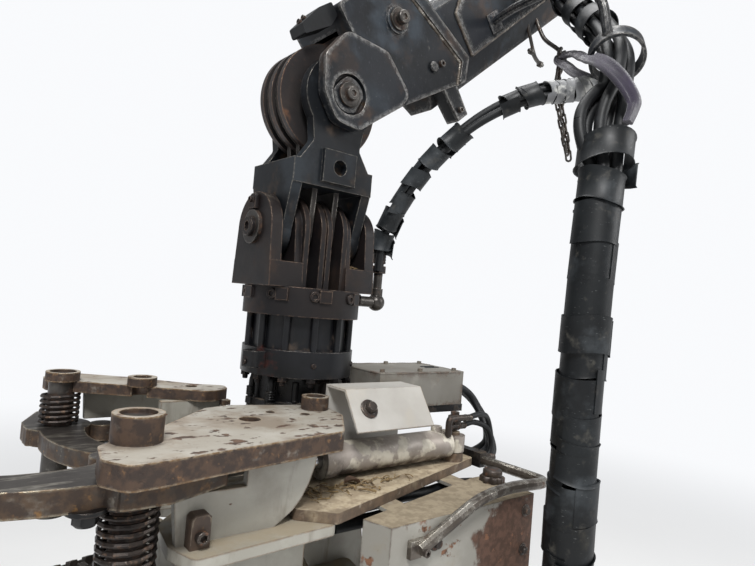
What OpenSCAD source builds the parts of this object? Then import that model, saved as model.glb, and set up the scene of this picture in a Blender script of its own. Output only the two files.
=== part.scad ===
// Working head of a forestry harvester, hanging from the tip of its boom.
// Millimetres, +Z up. The pieces are laid out about the lower link pin: X runs back towards
// the crane, -X is the open front where the trunk stands, and -Y is the near side.
// shift_home() then moves the origin to the open inner end of the boom section.

/* [Boom tip] */
// Slope of the boom section, rising from its tip
boom_angle = 41; // [35:1:47]
// Length of the boom section from the upper pin to the open end
boom_reach = 1300; // [1150:10:1500]
// Outside width of the boom box
boom_w = 160; // [140:2:180]
// Height of the boom's top face above the upper pin's line
boom_top = 85; // [60:1:110]
// Depth of the boom's bottom face below the upper pin's line
boom_drop = 177; // [160:1:185]
// Wall of the boom box
boom_wall = 10; // [6:1:14]
// Clear width between the two cheeks of the fork
fork_gap = 220; // [216:1:230]
// Thickness of each cheek
cheek_t = 30; // [24:1:36]
// Diameter of the upper pin
upper_pin_d = 70; // [56:1:76]
// Diameter of the pin that anchors the boom's brake plates
anchor_pin_d = 40; // [30:1:46]
// Diameter of the pocket around the upper pin's end
pin_pocket_d = 100; // [92:1:108]

/* [Brake plates] */
// Outer diameter of the boom's brake plates
brake_d = 290; // [270:2:296]
// Thickness of every upper brake plate
brake_t = 16; // [12:1:18]
// Distance from one upper brake plate to the next
brake_pitch = 22; // [20:0.5:23]
// Thickness of every lower brake plate
comb_t = 15; // [10:1:17]
// Radius of the rounded tops of the lower brake plates
comb_r = 92; // [84:1:98]

/* [Link] */
// Height of the upper pin above the lower pin
link_h = 345; // [335:1:360]
// Thickness of each upper arm of the link
arm_t = 30; // [24:1:32]
// Radius of the eye of each upper arm
arm_eye_r = 102; // [90:1:108]
// Thickness of each lower leg of the link
leg_t = 28; // [22:1:29]
// Radius of the rounded foot of each lower leg
leg_r = 70; // [62:1:74]
// Diameter of the lower pin
lower_pin_d = 56; // [44:1:62]
// Width of the square block on each face of the link
block_w = 98; // [86:1:104]
// Height of the square block
block_h = 82; // [70:1:86]
// Diameter of the blind hole in the square block
block_hole_d = 38; // [28:1:50]

/* [Rotator] */
// Outer diameter of the upper collar
collar_d = 300; // [290:2:310]
// Height of the upper collar
collar_h = 71; // [60:1:80]
// Outer diameter of the drum between collar and ring
drum_d = 246; // [230:2:256]
// Height of that drum
drum_h = 82; // [70:1:90]
// Outer diameter of the lower ring
ring_d = 286; // [276:2:290]
// Height of the lower ring
ring_h = 65; // [56:1:72]
// Diameter of the turning part below the ring
rotor_d = 210; // [190:2:220]
// Height of the turning part
rotor_h = 82; // [76:1:90]
// Number of tie bolts around the drum
tie_count = 12; // [8:1:16]

/* [Hanger] */
// Thickness of the hanger's top plate
hanger_plate_t = 20; // [16:1:24]
// Outside width of the hanger's column
column_w = 170; // [150:2:176]
// Diameter of the tilt pin
tilt_pin_d = 70; // [56:1:80]
// Drop of the tilt pin below the lower link pin
tilt_drop = 950; // [930:5:970]

/* [Head frame] */
// Clear width between the frame's side plates
frame_gap = 200; // [196:1:210]
// Thickness of the frame's side plates and web
frame_t = 20; // [14:1:24]
// Top face of the knife plates, below the lower link pin
deck_drop = 420; // [415:1:425]
// Thickness of the near knife plate
near_plate_t = 40; // [34:1:42]
// Thickness of the far knife plate
far_plate_t = 28; // [24:1:32]
// Distance of each knife pin from the middle plane
knife_pin_y = 310; // [300:1:320]
// Distance of the knife pins in front of the rotator's axis
knife_pin_x = 485; // [475:1:495]
// Diameter of the knife pins
knife_pin_d = 60; // [50:1:64]

/* [Knives and rollers] */
// Thickness of the delimbing knives
knife_t = 40; // [34:1:44]
// Radius of the middle line of a knife's arc
knife_arc_r = 300; // [290:1:310]
// Throw of the lug that the knife cylinder pulls
knife_throw = 100; // [92:1:106]
// Bore housing diameter of the knife cylinders
knife_cyl_d = 76; // [66:1:80]
// Rod diameter of the knife cylinders
knife_rod_d = 38; // [32:1:39]
// Diameter of a feed roller's drum without its lugs
roller_d = 290; // [270:2:310]
// Width of a feed roller
roller_w = 230; // [200:2:240]
// Height of the roller's lugs
lug_h = 20; // [14:1:26]
// Length of the saw bar beyond its pivot
saw_bar_l = 640; // [560:10:680]

/* [Hoses] */
// Diameter of the wrapped main hose bundle
main_hose_d = 116; // [90:2:120]
// Diameter of the wrapped rotator hose bundle
rotator_hose_d = 50; // [40:1:56]
// Diameter of a single hose on the head
small_hose_d = 24; // [18:1:28]

/* [Hidden] */
fit = 0.3;
run = 6;
$fn = 48;

// Helpers for outlines: a polygon's corners rounded to radius r, in n steps each.
function unit(v) = v / norm(v);
function corner(p, a, b, r, n) =
  let (
    u = unit(a - p),
    w = unit(b - p),
    half = acos(u * w) / 2,
    d = min(r / tan(half), 0.45 * norm(a - p), 0.45 * norm(b - p)),
    q = d * tan(half),
    c = p + unit(u + w) * q / sin(half),
    a0 = atan2(p.y + u.y * d - c.y, p.x + u.x * d - c.x),
    a1 = atan2(p.y + w.y * d - c.y, p.x + w.x * d - c.x),
    sweep = ((a1 - a0 + 540) % 360) - 180
  )
  [for (i = [0:n]) c + q * [cos(a0 + sweep * i / n), sin(a0 + sweep * i / n)]];
function rounded(pts, r, n = 4) =
  let (m = len(pts))
  [for (i = [0:m - 1]) each corner(pts[i], pts[(i + m - 1) % m], pts[(i + 1) % m], r, n)];
function polar(r, a) = r * [cos(a), sin(a)];

// A flat plate from a plan outline between two heights.
module plan_plate(pts, z_low, z_high) {
  translate([0, 0, z_low]) linear_extrude(z_high - z_low) polygon(pts);
}
// A plate standing along X and Z, between two Y values.
module side_plate(pts, y_low, y_high) {
  translate([0, y_high, 0]) rotate([90, 0, 0]) linear_extrude(y_high - y_low) polygon(pts);
}
// A plate standing along Y and Z, between two X values.
module cross_plate(pts, x_low, x_high) {
  translate([x_low, 0, 0]) rotate([90, 0, 90]) linear_extrude(x_high - x_low) polygon(pts);
}
module rod_x(d, x_low, x_high) {
  translate([x_low, 0, 0]) rotate([0, 90, 0]) cylinder(d = d, h = x_high - x_low);
}
module rod_y(d, y_low, y_high) {
  translate([0, y_high, 0]) rotate([90, 0, 0]) cylinder(d = d, h = y_high - y_low);
}
module rod_z(d, z_low, z_high) {
  translate([0, 0, z_low]) cylinder(d = d, h = z_high - z_low);
}
module block(x, y, z) {
  translate([x[0], y[0], z[0]]) cube([x[1] - x[0], y[1] - y[0], z[1] - z[0]]);
}
module both_sides() {
  children();
  mirror([0, 1, 0]) children();
}

// A round tube swept along points, with rings square to the route.
function path_dir(p, i) =
  let (m = len(p) - 1) unit(p[min(i + 1, m)] - p[max(i - 1, 0)]);
function ring_side(d, up) = unit(cross(d, up));
module sweep_tube(p, d, sides, up = [0.3, 1, 0.1]) {
  m = len(p);
  pts = [for (i = [0:m - 1])
    let (dir = path_dir(p, i), s = ring_side(dir, up), t = cross(s, dir))
    for (k = [0:sides - 1])
      p[i] + d / 2 * (s * cos(360 * k / sides) + t * sin(360 * k / sides))];
  walls = [for (i = [0:m - 2]) for (k = [0:sides - 1])
    let (a = i * sides + k, b = i * sides + (k + 1) % sides)
    [a, b, b + sides, a + sides]];
  first = [for (k = [sides - 1:-1:0]) k];
  last = [for (k = [0:sides - 1]) (m - 1) * sides + k];
  polyhedron(points = pts, faces = concat([first], walls, [last]), convexity = 6);
}
// Smooth points through a short list, steps between each pair.
function curve_point(p, i, t) =
  let (
    m = len(p) - 1,
    p0 = p[max(i - 1, 0)],
    p1 = p[i],
    p2 = p[i + 1],
    p3 = p[min(i + 2, m)]
  )
  0.5 * (2 * p1 + (p2 - p0) * t + (2 * p0 - 5 * p1 + 4 * p2 - p3) * t * t
    + (3 * p1 - p0 - 3 * p2 + p3) * t * t * t);
function smooth_path(p, steps) =
  concat([for (i = [0:len(p) - 2]) for (k = [0:steps - 1]) curve_point(p, i, k / steps)],
    [p[len(p) - 1]]);

// Places that several pieces share.
upper_pin_at = [0, 0, link_h];
boom_section_mid = (boom_top - boom_drop) / 2;
boom_end = upper_pin_at + [
  boom_reach * cos(boom_angle) - boom_section_mid * sin(boom_angle),
  0,
  boom_reach * sin(boom_angle) + boom_section_mid * cos(boom_angle)
];
module shift_home() {
  translate(-boom_end) children();
}
// Boom frame: x along the boom from the upper pin, z square to it.
module on_boom() {
  translate(upper_pin_at) rotate([0, -boom_angle, 0]) children();
}

// Boom section.
boom_half = [[45, -boom_drop], [boom_w / 2, -102], [boom_w / 2, boom_top - 20],
  [boom_w / 2 - 15, boom_top]];
boom_bore_half = [[45 - boom_wall * 0.5, boom_wall - boom_drop], [boom_w / 2 - boom_wall, -98],
  [boom_w / 2 - boom_wall, boom_top - 23], [boom_w / 2 - 15 - boom_wall * 0.5, boom_top - boom_wall]];
function both_halves(half) =
  concat(half, [for (i = [len(half) - 1:-1:0]) [-half[i].x, half[i].y]]);
fork_out = fork_gap / 2 + cheek_t;
boom_tube_from = 330;

module boom_tube() {
  color([0.16, 0.18, 0.21]) shift_home() on_boom()
    difference() {
      cross_plate(both_halves(boom_half), boom_tube_from, boom_reach);
      cross_plate(both_halves(boom_bore_half), boom_tube_from + boom_wall, boom_reach + 1);
    }
}

// Fork at the tip: two cheeks, a hollow body between them and a slanting rear flange.
cheek_outline = [[84, 131], [177, 38], [184, -87], [140, -99], [-25, -86], [-72, -34],
  [-62, 40], [-8, 112]];
tip_outline = [[120, 196], [190, 200], [330, 168], [420, 120], [470, -80], [425, -150],
  [140, -100], [118, -60]];
flange_outline = [[352, 170], [392, 150], [487, -98], [432, -152], [404, -148], [452, -98],
  [366, 120], [340, 140]];
anchor_at = [277, 92];
body_clear_r = brake_d / 2 + 10;
tip_cavity_w = 2 * brake_pitch * 2 + brake_t + 12;
tip_half_w = fork_gap / 2 + 2;

module tip_fork() {
  color([0.14, 0.16, 0.19]) shift_home() on_boom()
    difference() {
      union() {
        both_sides() side_plate(rounded(cheek_outline, 34, 5), fork_gap / 2, fork_out);
        difference() {
          side_plate(rounded(tip_outline, 14), -tip_half_w, tip_half_w);
          rod_y(2 * body_clear_r, -fork_gap / 2, fork_gap / 2);
          side_plate([[100, -70], [316, -70], [316, 140], [100, 140]],
            -tip_cavity_w / 2, tip_cavity_w / 2);
        }
        side_plate(rounded(flange_outline, 8), -tip_half_w - 8, tip_half_w + 8);
        both_sides() translate([anchor_at.x, 0, anchor_at.y])
          rod_y(72, tip_half_w - 2, tip_half_w + 8);
      }
      rod_y(upper_pin_d + 2 * fit, -fork_out - 1, fork_out + 1);
      both_sides() rod_y(pin_pocket_d, fork_out - 14, fork_out + 1);
      translate([anchor_at.x, 0, anchor_at.y])
        rod_y(anchor_pin_d + 2 * fit, -fork_out - 1, fork_out + 1);
      translate([boom_tube_from - fit, 0, 0])
        cross_plate(both_halves([for (p = boom_half) [p.x + fit, p.y + (p.y > 0 ? fit : -fit)]]),
          0, boom_reach);
    }
}

module boom_pins() {
  color([0.4, 0.4, 0.42]) shift_home() on_boom() {
    rod_y(upper_pin_d, 14 - fork_out, fork_out - 14);
    both_sides() {
      rod_y(56, fork_out - 14, fork_out - 2);
      rod_y(30, fork_out - 2, fork_out + 10);
    }
    translate([anchor_at.x, 0, anchor_at.y]) {
      rod_y(anchor_pin_d, -tip_half_w - 8, tip_half_w + 8);
      both_sides() {
        rod_y(58, tip_half_w + 8, tip_half_w + 16);
        rod_y(34, tip_half_w + 16, tip_half_w + 30);
      }
    }
  }
}

// The boom's plates of the upper brake hang on both pins.
module boom_brake_plates() {
  tongue = rounded([[0, -100], [120, -60], [anchor_at.x + 30, 60], [anchor_at.x + 24, 122],
    [anchor_at.x - 30, 128], [60, 130], [0, 120]], 12);
  color([0.45, 0.4, 0.35]) shift_home() on_boom()
    for (k = [-1:1]) translate([0, 2 * k * brake_pitch, 0])
      difference() {
        union() {
          rod_y(brake_d, -brake_t / 2, brake_t / 2);
          side_plate(tongue, -brake_t / 2, brake_t / 2);
        }
        rod_y(upper_pin_d + 2 * fit, -brake_t, brake_t);
        translate([anchor_at.x, 0, anchor_at.y]) rod_y(anchor_pin_d + 2 * fit, -brake_t, brake_t);
      }
}

// Buffer that stands over the brake plates.
module stop_pad() {
  pad = [[2, 170], [8, 194], [76, 208], [120, 206], [120 - fit, 172], [86, 158]];
  color([0.1, 0.1, 0.1]) shift_home() on_boom()
    difference() {
      side_plate(rounded(pad, 5), -88, -26);
      side_plate(rounded(tip_outline, 14), -tip_half_w, tip_half_w);
    }
}

// Link between the two hinges.
arm_in = 74;
arm_out = arm_in + arm_t;
leg_x = 104;
link_top = 172;
link_low = 112;
leg_out = leg_x + leg_t / 2;
comb_gap = 33;
comb_side = 57;

module link_body() {
  waist = [[-96, link_h - 30], [-78, link_h - 64], [-69, 222], [-leg_out, 150], [-leg_out, link_low],
    [leg_out, link_low], [leg_out, 150], [69, 222], [78, link_h - 64], [96, link_h - 30]];
  leg = [[-leg_r, 0], [-arm_out, link_low + 10], [-arm_out, link_top], [arm_out, link_top],
    [arm_out, link_low + 10], [leg_r, 0]];
  color([0.13, 0.14, 0.17]) shift_home()
    difference() {
      union() {
        both_sides() side_plate(rounded(waist, 16), arm_in, arm_out);
        both_sides() translate(upper_pin_at) rod_y(2 * arm_eye_r, arm_in, arm_out);
        block([-leg_out, leg_out], [-arm_out, arm_out], [link_low, link_top]);
        for (s = [-1, 1]) {
          cross_plate(leg, s * leg_x - leg_t / 2, s * leg_x + leg_t / 2);
          rod_x(2 * leg_r, s * leg_x - leg_t / 2, s * leg_x + leg_t / 2);
        }
        both_sides() block([-block_w / 2 + 8, block_w / 2 + 8], [arm_out - 2, arm_out + 10],
          [166 - block_h / 2, 166 + block_h / 2]);
      }
      translate(upper_pin_at) rod_y(upper_pin_d + 2, -arm_out - 1, arm_out + 1);
      rod_x(lower_pin_d + 2, -leg_out - 1, leg_out + 1);
      both_sides() translate([8, 0, 166]) rod_y(block_hole_d, arm_out - 14, arm_out + 11);
    }
}

// The link's own plates: two discs above, two flat tongues below.
module link_brake_plates() {
  color([0.5, 0.48, 0.45]) shift_home() {
    for (s = [-1, 1]) translate([0, s * brake_pitch, 0])
      difference() {
        union() {
          translate(upper_pin_at) rod_y(brake_d - 14, -brake_t / 2, brake_t / 2);
          side_plate([[-60, link_top], [60, link_top], [70, link_h - 100], [-70, link_h - 100]],
            -brake_t / 2, brake_t / 2);
        }
        translate(upper_pin_at) rod_y(upper_pin_d + 2, -brake_t, brake_t);
      }
    for (s = [-1, 1]) translate([s * comb_gap, 0, 0])
      difference() {
        union() {
          rod_x(124, -comb_t / 2, comb_t / 2);
          cross_plate([[-62, 0], [62, 0], [70, link_low], [-70, link_low]], -comb_t / 2, comb_t / 2);
        }
        rod_x(lower_pin_d + 2, -comb_t, comb_t);
      }
  }
}

// Upper half of the rotator: ears, inner walls, brake plates and the collar.
ear_in = leg_out + run + 1;
ear_out = ear_in + 30;
wall_out = leg_x - leg_t / 2 - run;
wall_in = wall_out - 20;
collar_top = -140;
collar_low = collar_top - collar_h;
drum_low = collar_low - drum_h;
ring_low = drum_low - ring_h;
rotor_low = ring_low - rotor_h;
socket_floor = -leg_r - 10;

module rotator_yoke() {
  ear = [[-88, 0], [-100, collar_top - 2], [100, collar_top - 2], [88, 0]];
  wall = [[-78, 0], [-92, collar_top - 2], [92, collar_top - 2], [78, 0]];
  color([0.13, 0.13, 0.15]) shift_home()
    difference() {
      union() {
        rod_z(collar_d, collar_low, collar_top);
        for (s = [-1, 1]) {
          cross_plate(ear, s * (ear_in + 15) - 15, s * (ear_in + 15) + 15);
          rod_x(176, s * (ear_in + 15) - 15, s * (ear_in + 15) + 15);
          cross_plate(wall, s * (wall_in + 10) - 10, s * (wall_in + 10) + 10);
          rod_x(156, s * (wall_in + 10) - 10, s * (wall_in + 10) + 10);
          for (c = [9.5, comb_side]) {
            rod_x(2 * comb_r, s * c - comb_t / 2, s * c + comb_t / 2);
            cross_plate([[-comb_r, 0], [-comb_r, collar_top - 2], [comb_r, collar_top - 2],
              [comb_r, 0]], s * c - comb_t / 2, s * c + comb_t / 2);
          }
          intersection() {
            cross_plate([[-96, socket_floor], [-100, collar_top - 2], [100, collar_top - 2],
              [96, socket_floor]], s * (ear_out + wall_in) / 2 - (ear_out - wall_in) / 2,
              s * (ear_out + wall_in) / 2 + (ear_out - wall_in) / 2);
            block([-200, 200], [-200, 200], [collar_top - 2, socket_floor]);
          }
        }
        for (a = [20:40:340]) rotate(a) block([collar_d / 2 - 20, collar_d / 2 + 6], [-16, 16],
          [collar_top - 34, collar_top - 4]);
      }
      rod_x(lower_pin_d + 2 * fit, -ear_out - 1, ear_out + 1);
    }
}

module rotator_drum() {
  color([0.12, 0.12, 0.14]) shift_home()
    difference() {
      union() {
        rod_z(drum_d, drum_low, collar_low);
        rod_z(ring_d, ring_low, drum_low);
        for (i = [0:tie_count - 1]) rotate(15 + i * 360 / tie_count)
          translate([drum_d / 2 + 8, 0, 0]) rod_z(18, drum_low - 2, collar_low);
        rotate(197) plan_plate(rounded([[ring_d / 2 - 12, -30], [ring_d / 2 + 34, -22],
          [ring_d / 2 + 34, 22], [ring_d / 2 - 12, 30]], 12), ring_low + 20, drum_low - 6);
      }
      rotate(197) translate([ring_d / 2 + 12, 0, 0]) rod_z(22, ring_low - 1, drum_low + 1);
    }
}

module lower_pin() {
  color([0.4, 0.4, 0.4]) shift_home() {
    rod_x(lower_pin_d, -ear_out, ear_out);
    for (s = [-1, 1]) rod_x(84, s * (ear_out + 5) - 5, s * (ear_out + 5) + 5);
  }
}

// Swivel inlet on the collar's rear.
module rotator_port() {
  color([0.5, 0.5, 0.52]) shift_home() translate([0, 0, collar_top - 22]) {
    rod_x(30, collar_d / 2 + 6, 236);
    translate([250, 0, 0]) {
      sphere(d = 50);
      rod_z(34, 0, 40);
      rod_z(26, 40, 90);
    }
  }
}

// Lower half of the rotator, which turns with the head.
module rotor() {
  color([0.1, 0.1, 0.13]) shift_home() {
    rod_z(rotor_d, rotor_low + 18, ring_low - fit);
    rod_z(rotor_d + 26, rotor_low, rotor_low + 18);
    for (a = [0:30:330]) rotate(a) translate([rotor_d / 2 + 1, 0, 0]) rod_z(16, rotor_low, ring_low - 14);
  }
}

// Hanger: top plate, tapering hollow column and the barrel on the tilt pin.
hanger_low = rotor_low - hanger_plate_t;
tilt_at = [30, 0, -tilt_drop];
tilt_lug_at = tilt_at + [95, 0, 115];
column_half = column_w / 2;
module at(p) {
  translate(p) children();
}

module hanger() {
  side = [[-62, hanger_low + 1], [-62, -640], [-30, -900], [-22, -tilt_drop], [84, -tilt_drop], [90, -900],
    [76, -640], [76, hanger_low + 1]];
  plate = [[0, -118], [490, -148], [490, 60], [160, 118], [0, 118]];
  color([0.2, 0.2, 0.21]) shift_home()
    difference() {
      union() {
        rod_z(240, hanger_low, rotor_low);
        plan_plate(plate, hanger_low, rotor_low);
        side_plate(rounded(side, 10), -column_half, column_half);
        at(tilt_at) rod_y(136, -column_half, column_half);
        both_sides() side_plate(rounded([[60, tilt_lug_at.z + 90], [tilt_lug_at.x, tilt_lug_at.z + 36],
          [tilt_lug_at.x + 34, tilt_lug_at.z], [tilt_lug_at.x, tilt_lug_at.z - 34],
          [60, tilt_lug_at.z - 50]], 12), 44, 62);
        both_sides() side_plate([[60, hanger_low + 1], [360, hanger_low + 1], [76, -600]], 52, 66);
      }
      side_plate([[-46, hanger_low - 20], [-46, -640], [-14, -860], [70, -860], [60, -640],
        [60, hanger_low - 20]], -column_half + 14, column_half - 14);
      block([76, 300], [-44, 44], [-1040, -750]);
      at([0, 0, -560]) rod_x(64, -80, 0);
      at(tilt_at) rod_y(tilt_pin_d + 1, -100, 100);
      at(tilt_lug_at) rod_y(30 + 2 * fit, -100, 100);
    }
}

// Folded steel box behind the rotator where the hoses turn down.
module hose_box() {
  x0 = 168;
  x1 = 488;
  y0 = -146;
  y1 = 44;
  top = -345;
  color([0.45, 0.45, 0.43]) shift_home()
    difference() {
      block([x0, x1], [y0, y1], [rotor_low, top]);
      block([x0 + 8, x1 + 1], [y0 + 8, y1 - 8], [rotor_low + 6, top - 8]);
    }
}

// Tilt cylinder: barrel on the hanger, rod to the frame.
tilt_foot_at = tilt_at + [90, 0, -430];
tilt_span = norm(tilt_foot_at - tilt_lug_at);
tilt_dir = atan2(tilt_foot_at.z - tilt_lug_at.z, tilt_foot_at.x - tilt_lug_at.x);
module on_tilt_axis() {
  translate(tilt_lug_at) rotate([0, -tilt_dir, 0]) children();
}
module tilt_barrel() {
  color([0.3, 0.3, 0.3]) shift_home() on_tilt_axis()
    difference() {
      union() {
        rod_y(64, -38, 38);
        rod_x(78, 24, 290);
        rod_x(86, 276, 302);
        rod_y(30, -62, 62);
      }
      rod_x(46 + 2 * fit, 46, 303);
    }
}
module tilt_rod() {
  color([0.7, 0.7, 0.72]) shift_home() on_tilt_axis() {
    rod_x(46, 260, tilt_span - 24);
    translate([tilt_span, 0, 0]) rod_y(60, -36, 36);
  }
}

// Main frame: an open channel that carries everything on the head.
side_in = frame_gap / 2;
side_out = side_in + frame_t;
web_x = -150;
frame_foot = -1420;
plate_low = -deck_drop - near_plate_t;
arm_pin_at = [60, -225];
arm_pin_high = -846;
arm_pin_low = -1154;
small_pin_d = 50;
rear_pin_top = -1244;
rear_pin_low = -1396;
saw_top = frame_foot - 20;

module main_frame() {
  side = [[web_x, plate_low], [-138, plate_low], [-128, plate_low - 12], [0, plate_low - 12],
    [96, -512], [150, -640], [175, -800], [350, -930], [372, -990], [350, -1060], [240, -1130],
    [200, frame_foot], [web_x, frame_foot]];
  color([0.75, 0.76, 0.74]) shift_home()
    difference() {
      union() {
        both_sides() side_plate(rounded(side, 16), side_in, side_out);
        block([web_x, web_x + frame_t], [-side_in - 1, side_in + 1], [frame_foot, plate_low - 20]);
        block([web_x, 200], [-side_out, side_out], [frame_foot - 20, frame_foot + 1]);
        both_sides() at(tilt_at) rod_y(136, column_half + run, side_out + 22);
        both_sides() side_plate(rounded([[86, -1345], [150, -1345], [160, -1390], [160, frame_foot + 1],
          [70, frame_foot + 1]], 8), 46, 62);
        both_sides() for (z = [arm_pin_high + 6, arm_pin_low - 26])
          plan_plate(rounded([[10, side_out - 2], [130, side_out - 2], [104, 240], [60, 275],
            [16, 240]], 16), z, z + 20);
        both_sides() for (z = [-1062, -958])
          plan_plate(rounded([[262, side_out - 2], [352, side_out - 2], [368, 262], [330, 286],
            [292, 262]], 14), z, z + 20);
      }
      both_sides() at(tilt_at) rod_y(tilt_pin_d + 2 * fit, 60, side_out + 30);
      both_sides() translate([arm_pin_at.x, -arm_pin_at.y, 0]) rod_z(small_pin_d + 2 * fit, arm_pin_low - 36, arm_pin_high + 36);
      both_sides() translate([arm_base_at.x, -arm_base_at.y, 0]) rod_z(28 + 2 * fit, -1070, -930);
      for (z = [-620, -1120]) at([web_x, 0, z]) rod_x(110, -1, frame_t + 1);
      both_sides() for (p = [[20, -700], [60, -1280]]) at([p.x, 0, p.y]) rod_y(120, side_in - 1, side_out + 1);
    }
}

module tilt_pin() {
  color([0.4, 0.4, 0.4]) shift_home() at(tilt_at) {
    rod_y(tilt_pin_d, -side_out - 22, side_out + 22);
    both_sides() rod_y(96, side_out + 22, side_out + 32);
  }
}

// Knife plates at the top, near and far.
near_pin = [-knife_pin_x, -knife_pin_y];
far_pin = [-knife_pin_x, knife_pin_y];
cylinder_pin_at = [-45, -170];
near_deck_outline = [[-548, -322], [-560, -395], [-531, -442], [-470, -436], [-368, -417],
  [-104, -374], [-19, -248], [-8, -173], [-60, -120], [-215, -82], [-281, -98], [-408, -221]];
far_deck_outline = [[-517, 327], [-203, 94], [-170, 96], [-130, 120], [-120, 165], [-187, 200],
  [-317, 332], [-436, 416], [-520, 372]];

module near_deck() {
  color([0.8, 0.81, 0.78]) shift_home()
    difference() {
      union() {
        plan_plate(rounded(near_deck_outline, 22), plate_low, -deck_drop);
        translate(near_pin) rod_z(84, -deck_drop - 1, -deck_drop + 47);
        translate(cylinder_pin_at) rod_z(64, -deck_drop - 1, -deck_drop + 30);
      }
      translate(near_pin) rod_z(knife_pin_d + 2 * fit, plate_low - 1, -deck_drop + 50);
      translate(cylinder_pin_at) rod_z(46, plate_low - 1, -deck_drop + 50);
      translate([-236, -223]) rod_z(44, plate_low - 1, -deck_drop + 1);
      translate([-163, -174]) rod_z(20, plate_low - 1, -deck_drop + 1);
      translate([-97, -214]) rod_z(20, plate_low - 1, -deck_drop + 1);
    }
}

module far_deck() {
  low = -deck_drop - far_plate_t;
  color([0.78, 0.78, 0.75]) shift_home()
    difference() {
      union() {
        plan_plate(rounded(far_deck_outline, 20), low, -deck_drop);
        translate(far_pin) rod_z(78, -deck_drop - 1, -deck_drop + 22);
        translate([-325, 200]) rod_z(70, -deck_drop - 1, -deck_drop + 22);
        block([-150, -128], [side_in, side_out], [plate_low, low + 1]);
      }
      translate(far_pin) rod_z(knife_pin_d + 2 * fit, low - 1, -deck_drop + 50);
      translate([-325, 200]) rod_z(44, low - 1, -deck_drop + 50);
      translate([-210, 168]) rod_z(30, low - 1, -deck_drop + 1);
    }
}

// Side housings: an outer wall with a hollow rear edge, a ledge and the lower pin plate.
shelf_drop = 70;
cover_h = 190;
pin_plate_top = -715;
pin_plate_t = 26;
wall_y = 322;
module side_housing(top, cyl_z, knife_top) {
  ledge_top = cyl_z - shelf_drop;
  web = concat([[-430, top], [-140, top]],
    [for (a = [0:15:75]) [-136, top] + [-78 + 78 * cos(a + 10), 0] + [0, -1.7 * 78 * sin(a)]],
    [[-240, ledge_top - 10], [-412, ledge_top - 10]]);
  ledge = [[-424, -330], [-402, -398], [-112, -382], [-92, -330], [-140, -side_out], [-300, -side_out],
    [-410, -232]];
  pin_plate = [[-535, -338], [-505, -366], [-440, -366], [-130, -352], [-100, -260], [-100, -side_out],
    [-230, -side_out], [-420, -236], [-525, -270]];
  difference() {
    union() {
      side_plate(web, -wall_y - 16, -wall_y);
      side_plate([[-410, pin_plate_top - 1], [-150, pin_plate_top - 1], [-150, ledge_top - 10],
        [-410, ledge_top - 10]], -wall_y - 12, -wall_y);
      plan_plate(rounded(ledge, 14), ledge_top - 22, ledge_top);
      plan_plate(rounded(pin_plate, 18), pin_plate_top - pin_plate_t, pin_plate_top);
      plan_plate([[-300, -140], [-138, -140], [-138, -side_out - fit / 10], [-300, -side_out - fit / 10]],
        pin_plate_top, top);
    }
    translate(near_pin) rod_z(knife_pin_d + 2 * fit, pin_plate_top - 40, top + 10);
    block([-440, -290], [-wall_y - 20, -wall_y + 1], [knife_top - knife_t - run, knife_top + run]);
  }
}
module near_side() {
  color([0.78, 0.79, 0.77]) shift_home() side_housing(plate_low, near_cyl_z, near_knife_top);
}
module far_side() {
  color([0.72, 0.73, 0.71]) shift_home() mirror([0, 1, 0]) side_housing(-deck_drop - far_plate_t, far_cyl_z, far_knife_top);
}

// Shelves that carry the knife cylinders.
near_cyl_z = -530;
far_cyl_z = -604;
cyl_base = [400, 205];
shelf_front = [-112, -386];
shelf_back = [476, -217];
shelf_outline = [[-160, -263], [-178, -326], shelf_front, shelf_back, [476, -170], [250, -162],
  [196, -side_out], [-90, -side_out], [-120, -240]];
function shelf_edge(x) = lookup(x, [shelf_front, shelf_back]);
module shelf(cyl_z) {
  low = cyl_z - shelf_drop;
  plan_plate(rounded(shelf_outline, 12), low, low + 22);
  translate([cyl_base.x, -cyl_base.y]) {
    rod_z(60, low, cyl_z - 24);
    rod_z(34, low, cyl_z + 30);
  }
  cross_plate([[-side_out, low + 1], [-250, low + 1], [-side_out, low - 110]], 40, 56);
}
module near_shelf() {
  color([0.6, 0.55, 0.45]) shift_home() shelf(near_cyl_z);
}
module far_shelf() {
  color([0.6, 0.56, 0.5]) shift_home() mirror([0, 1, 0]) shelf(far_cyl_z);
}

// Bent sheet over the near cylinder, on one bolted leg.
module cylinder_cover() {
  color([0.85, 0.85, 0.83]) shift_home()
    cross_plate([[-154, -366], [-232, -366], [-292, -452], [-288, -455], [-229, -372],
      [-160, -372], [-160, near_cyl_z - shelf_drop + 22], [-154, near_cyl_z - shelf_drop + 22]],
      -6, 232);
}

// Folded covers low on each side, on two lugs under the shelf, and the near one's guard pipe.
cover_lug_w = 60;
module side_cover(cyl_z) {
  plan = [[-48, -386], [-26, -450], [440, -450], [440, -296], [380, -296]];
  inner = [[-36, -382], [-18, -442], [432, -442], [432, -304], [382, -304]];
  top = cyl_z - shelf_drop;
  difference() {
    plan_plate(plan, top - cover_h, top);
    plan_plate(inner, top - cover_h - 1, top - 8);
  }
  for (x = [30, 290])
    plan_plate([[x, -400], [x, shelf_edge(x) + 24], [x + cover_lug_w, shelf_edge(x + cover_lug_w) + 24],
      [x + cover_lug_w, -400]], top - 8, top);
}
module near_cover() {
  color([0.5, 0.47, 0.42]) shift_home() side_cover(near_cyl_z);
}
module far_cover() {
  color([0.5, 0.5, 0.48]) shift_home() mirror([0, 1, 0]) side_cover(far_cyl_z);
}
pipe_route = [[40, -464, -650], [120, -464, -616], [220, -464, -576], [330, -464, -566],
  [440, -464, -572], [484, -440, -578], [492, -380, -580], [490, -300, -580], [490, -243.5, -580]];
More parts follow.
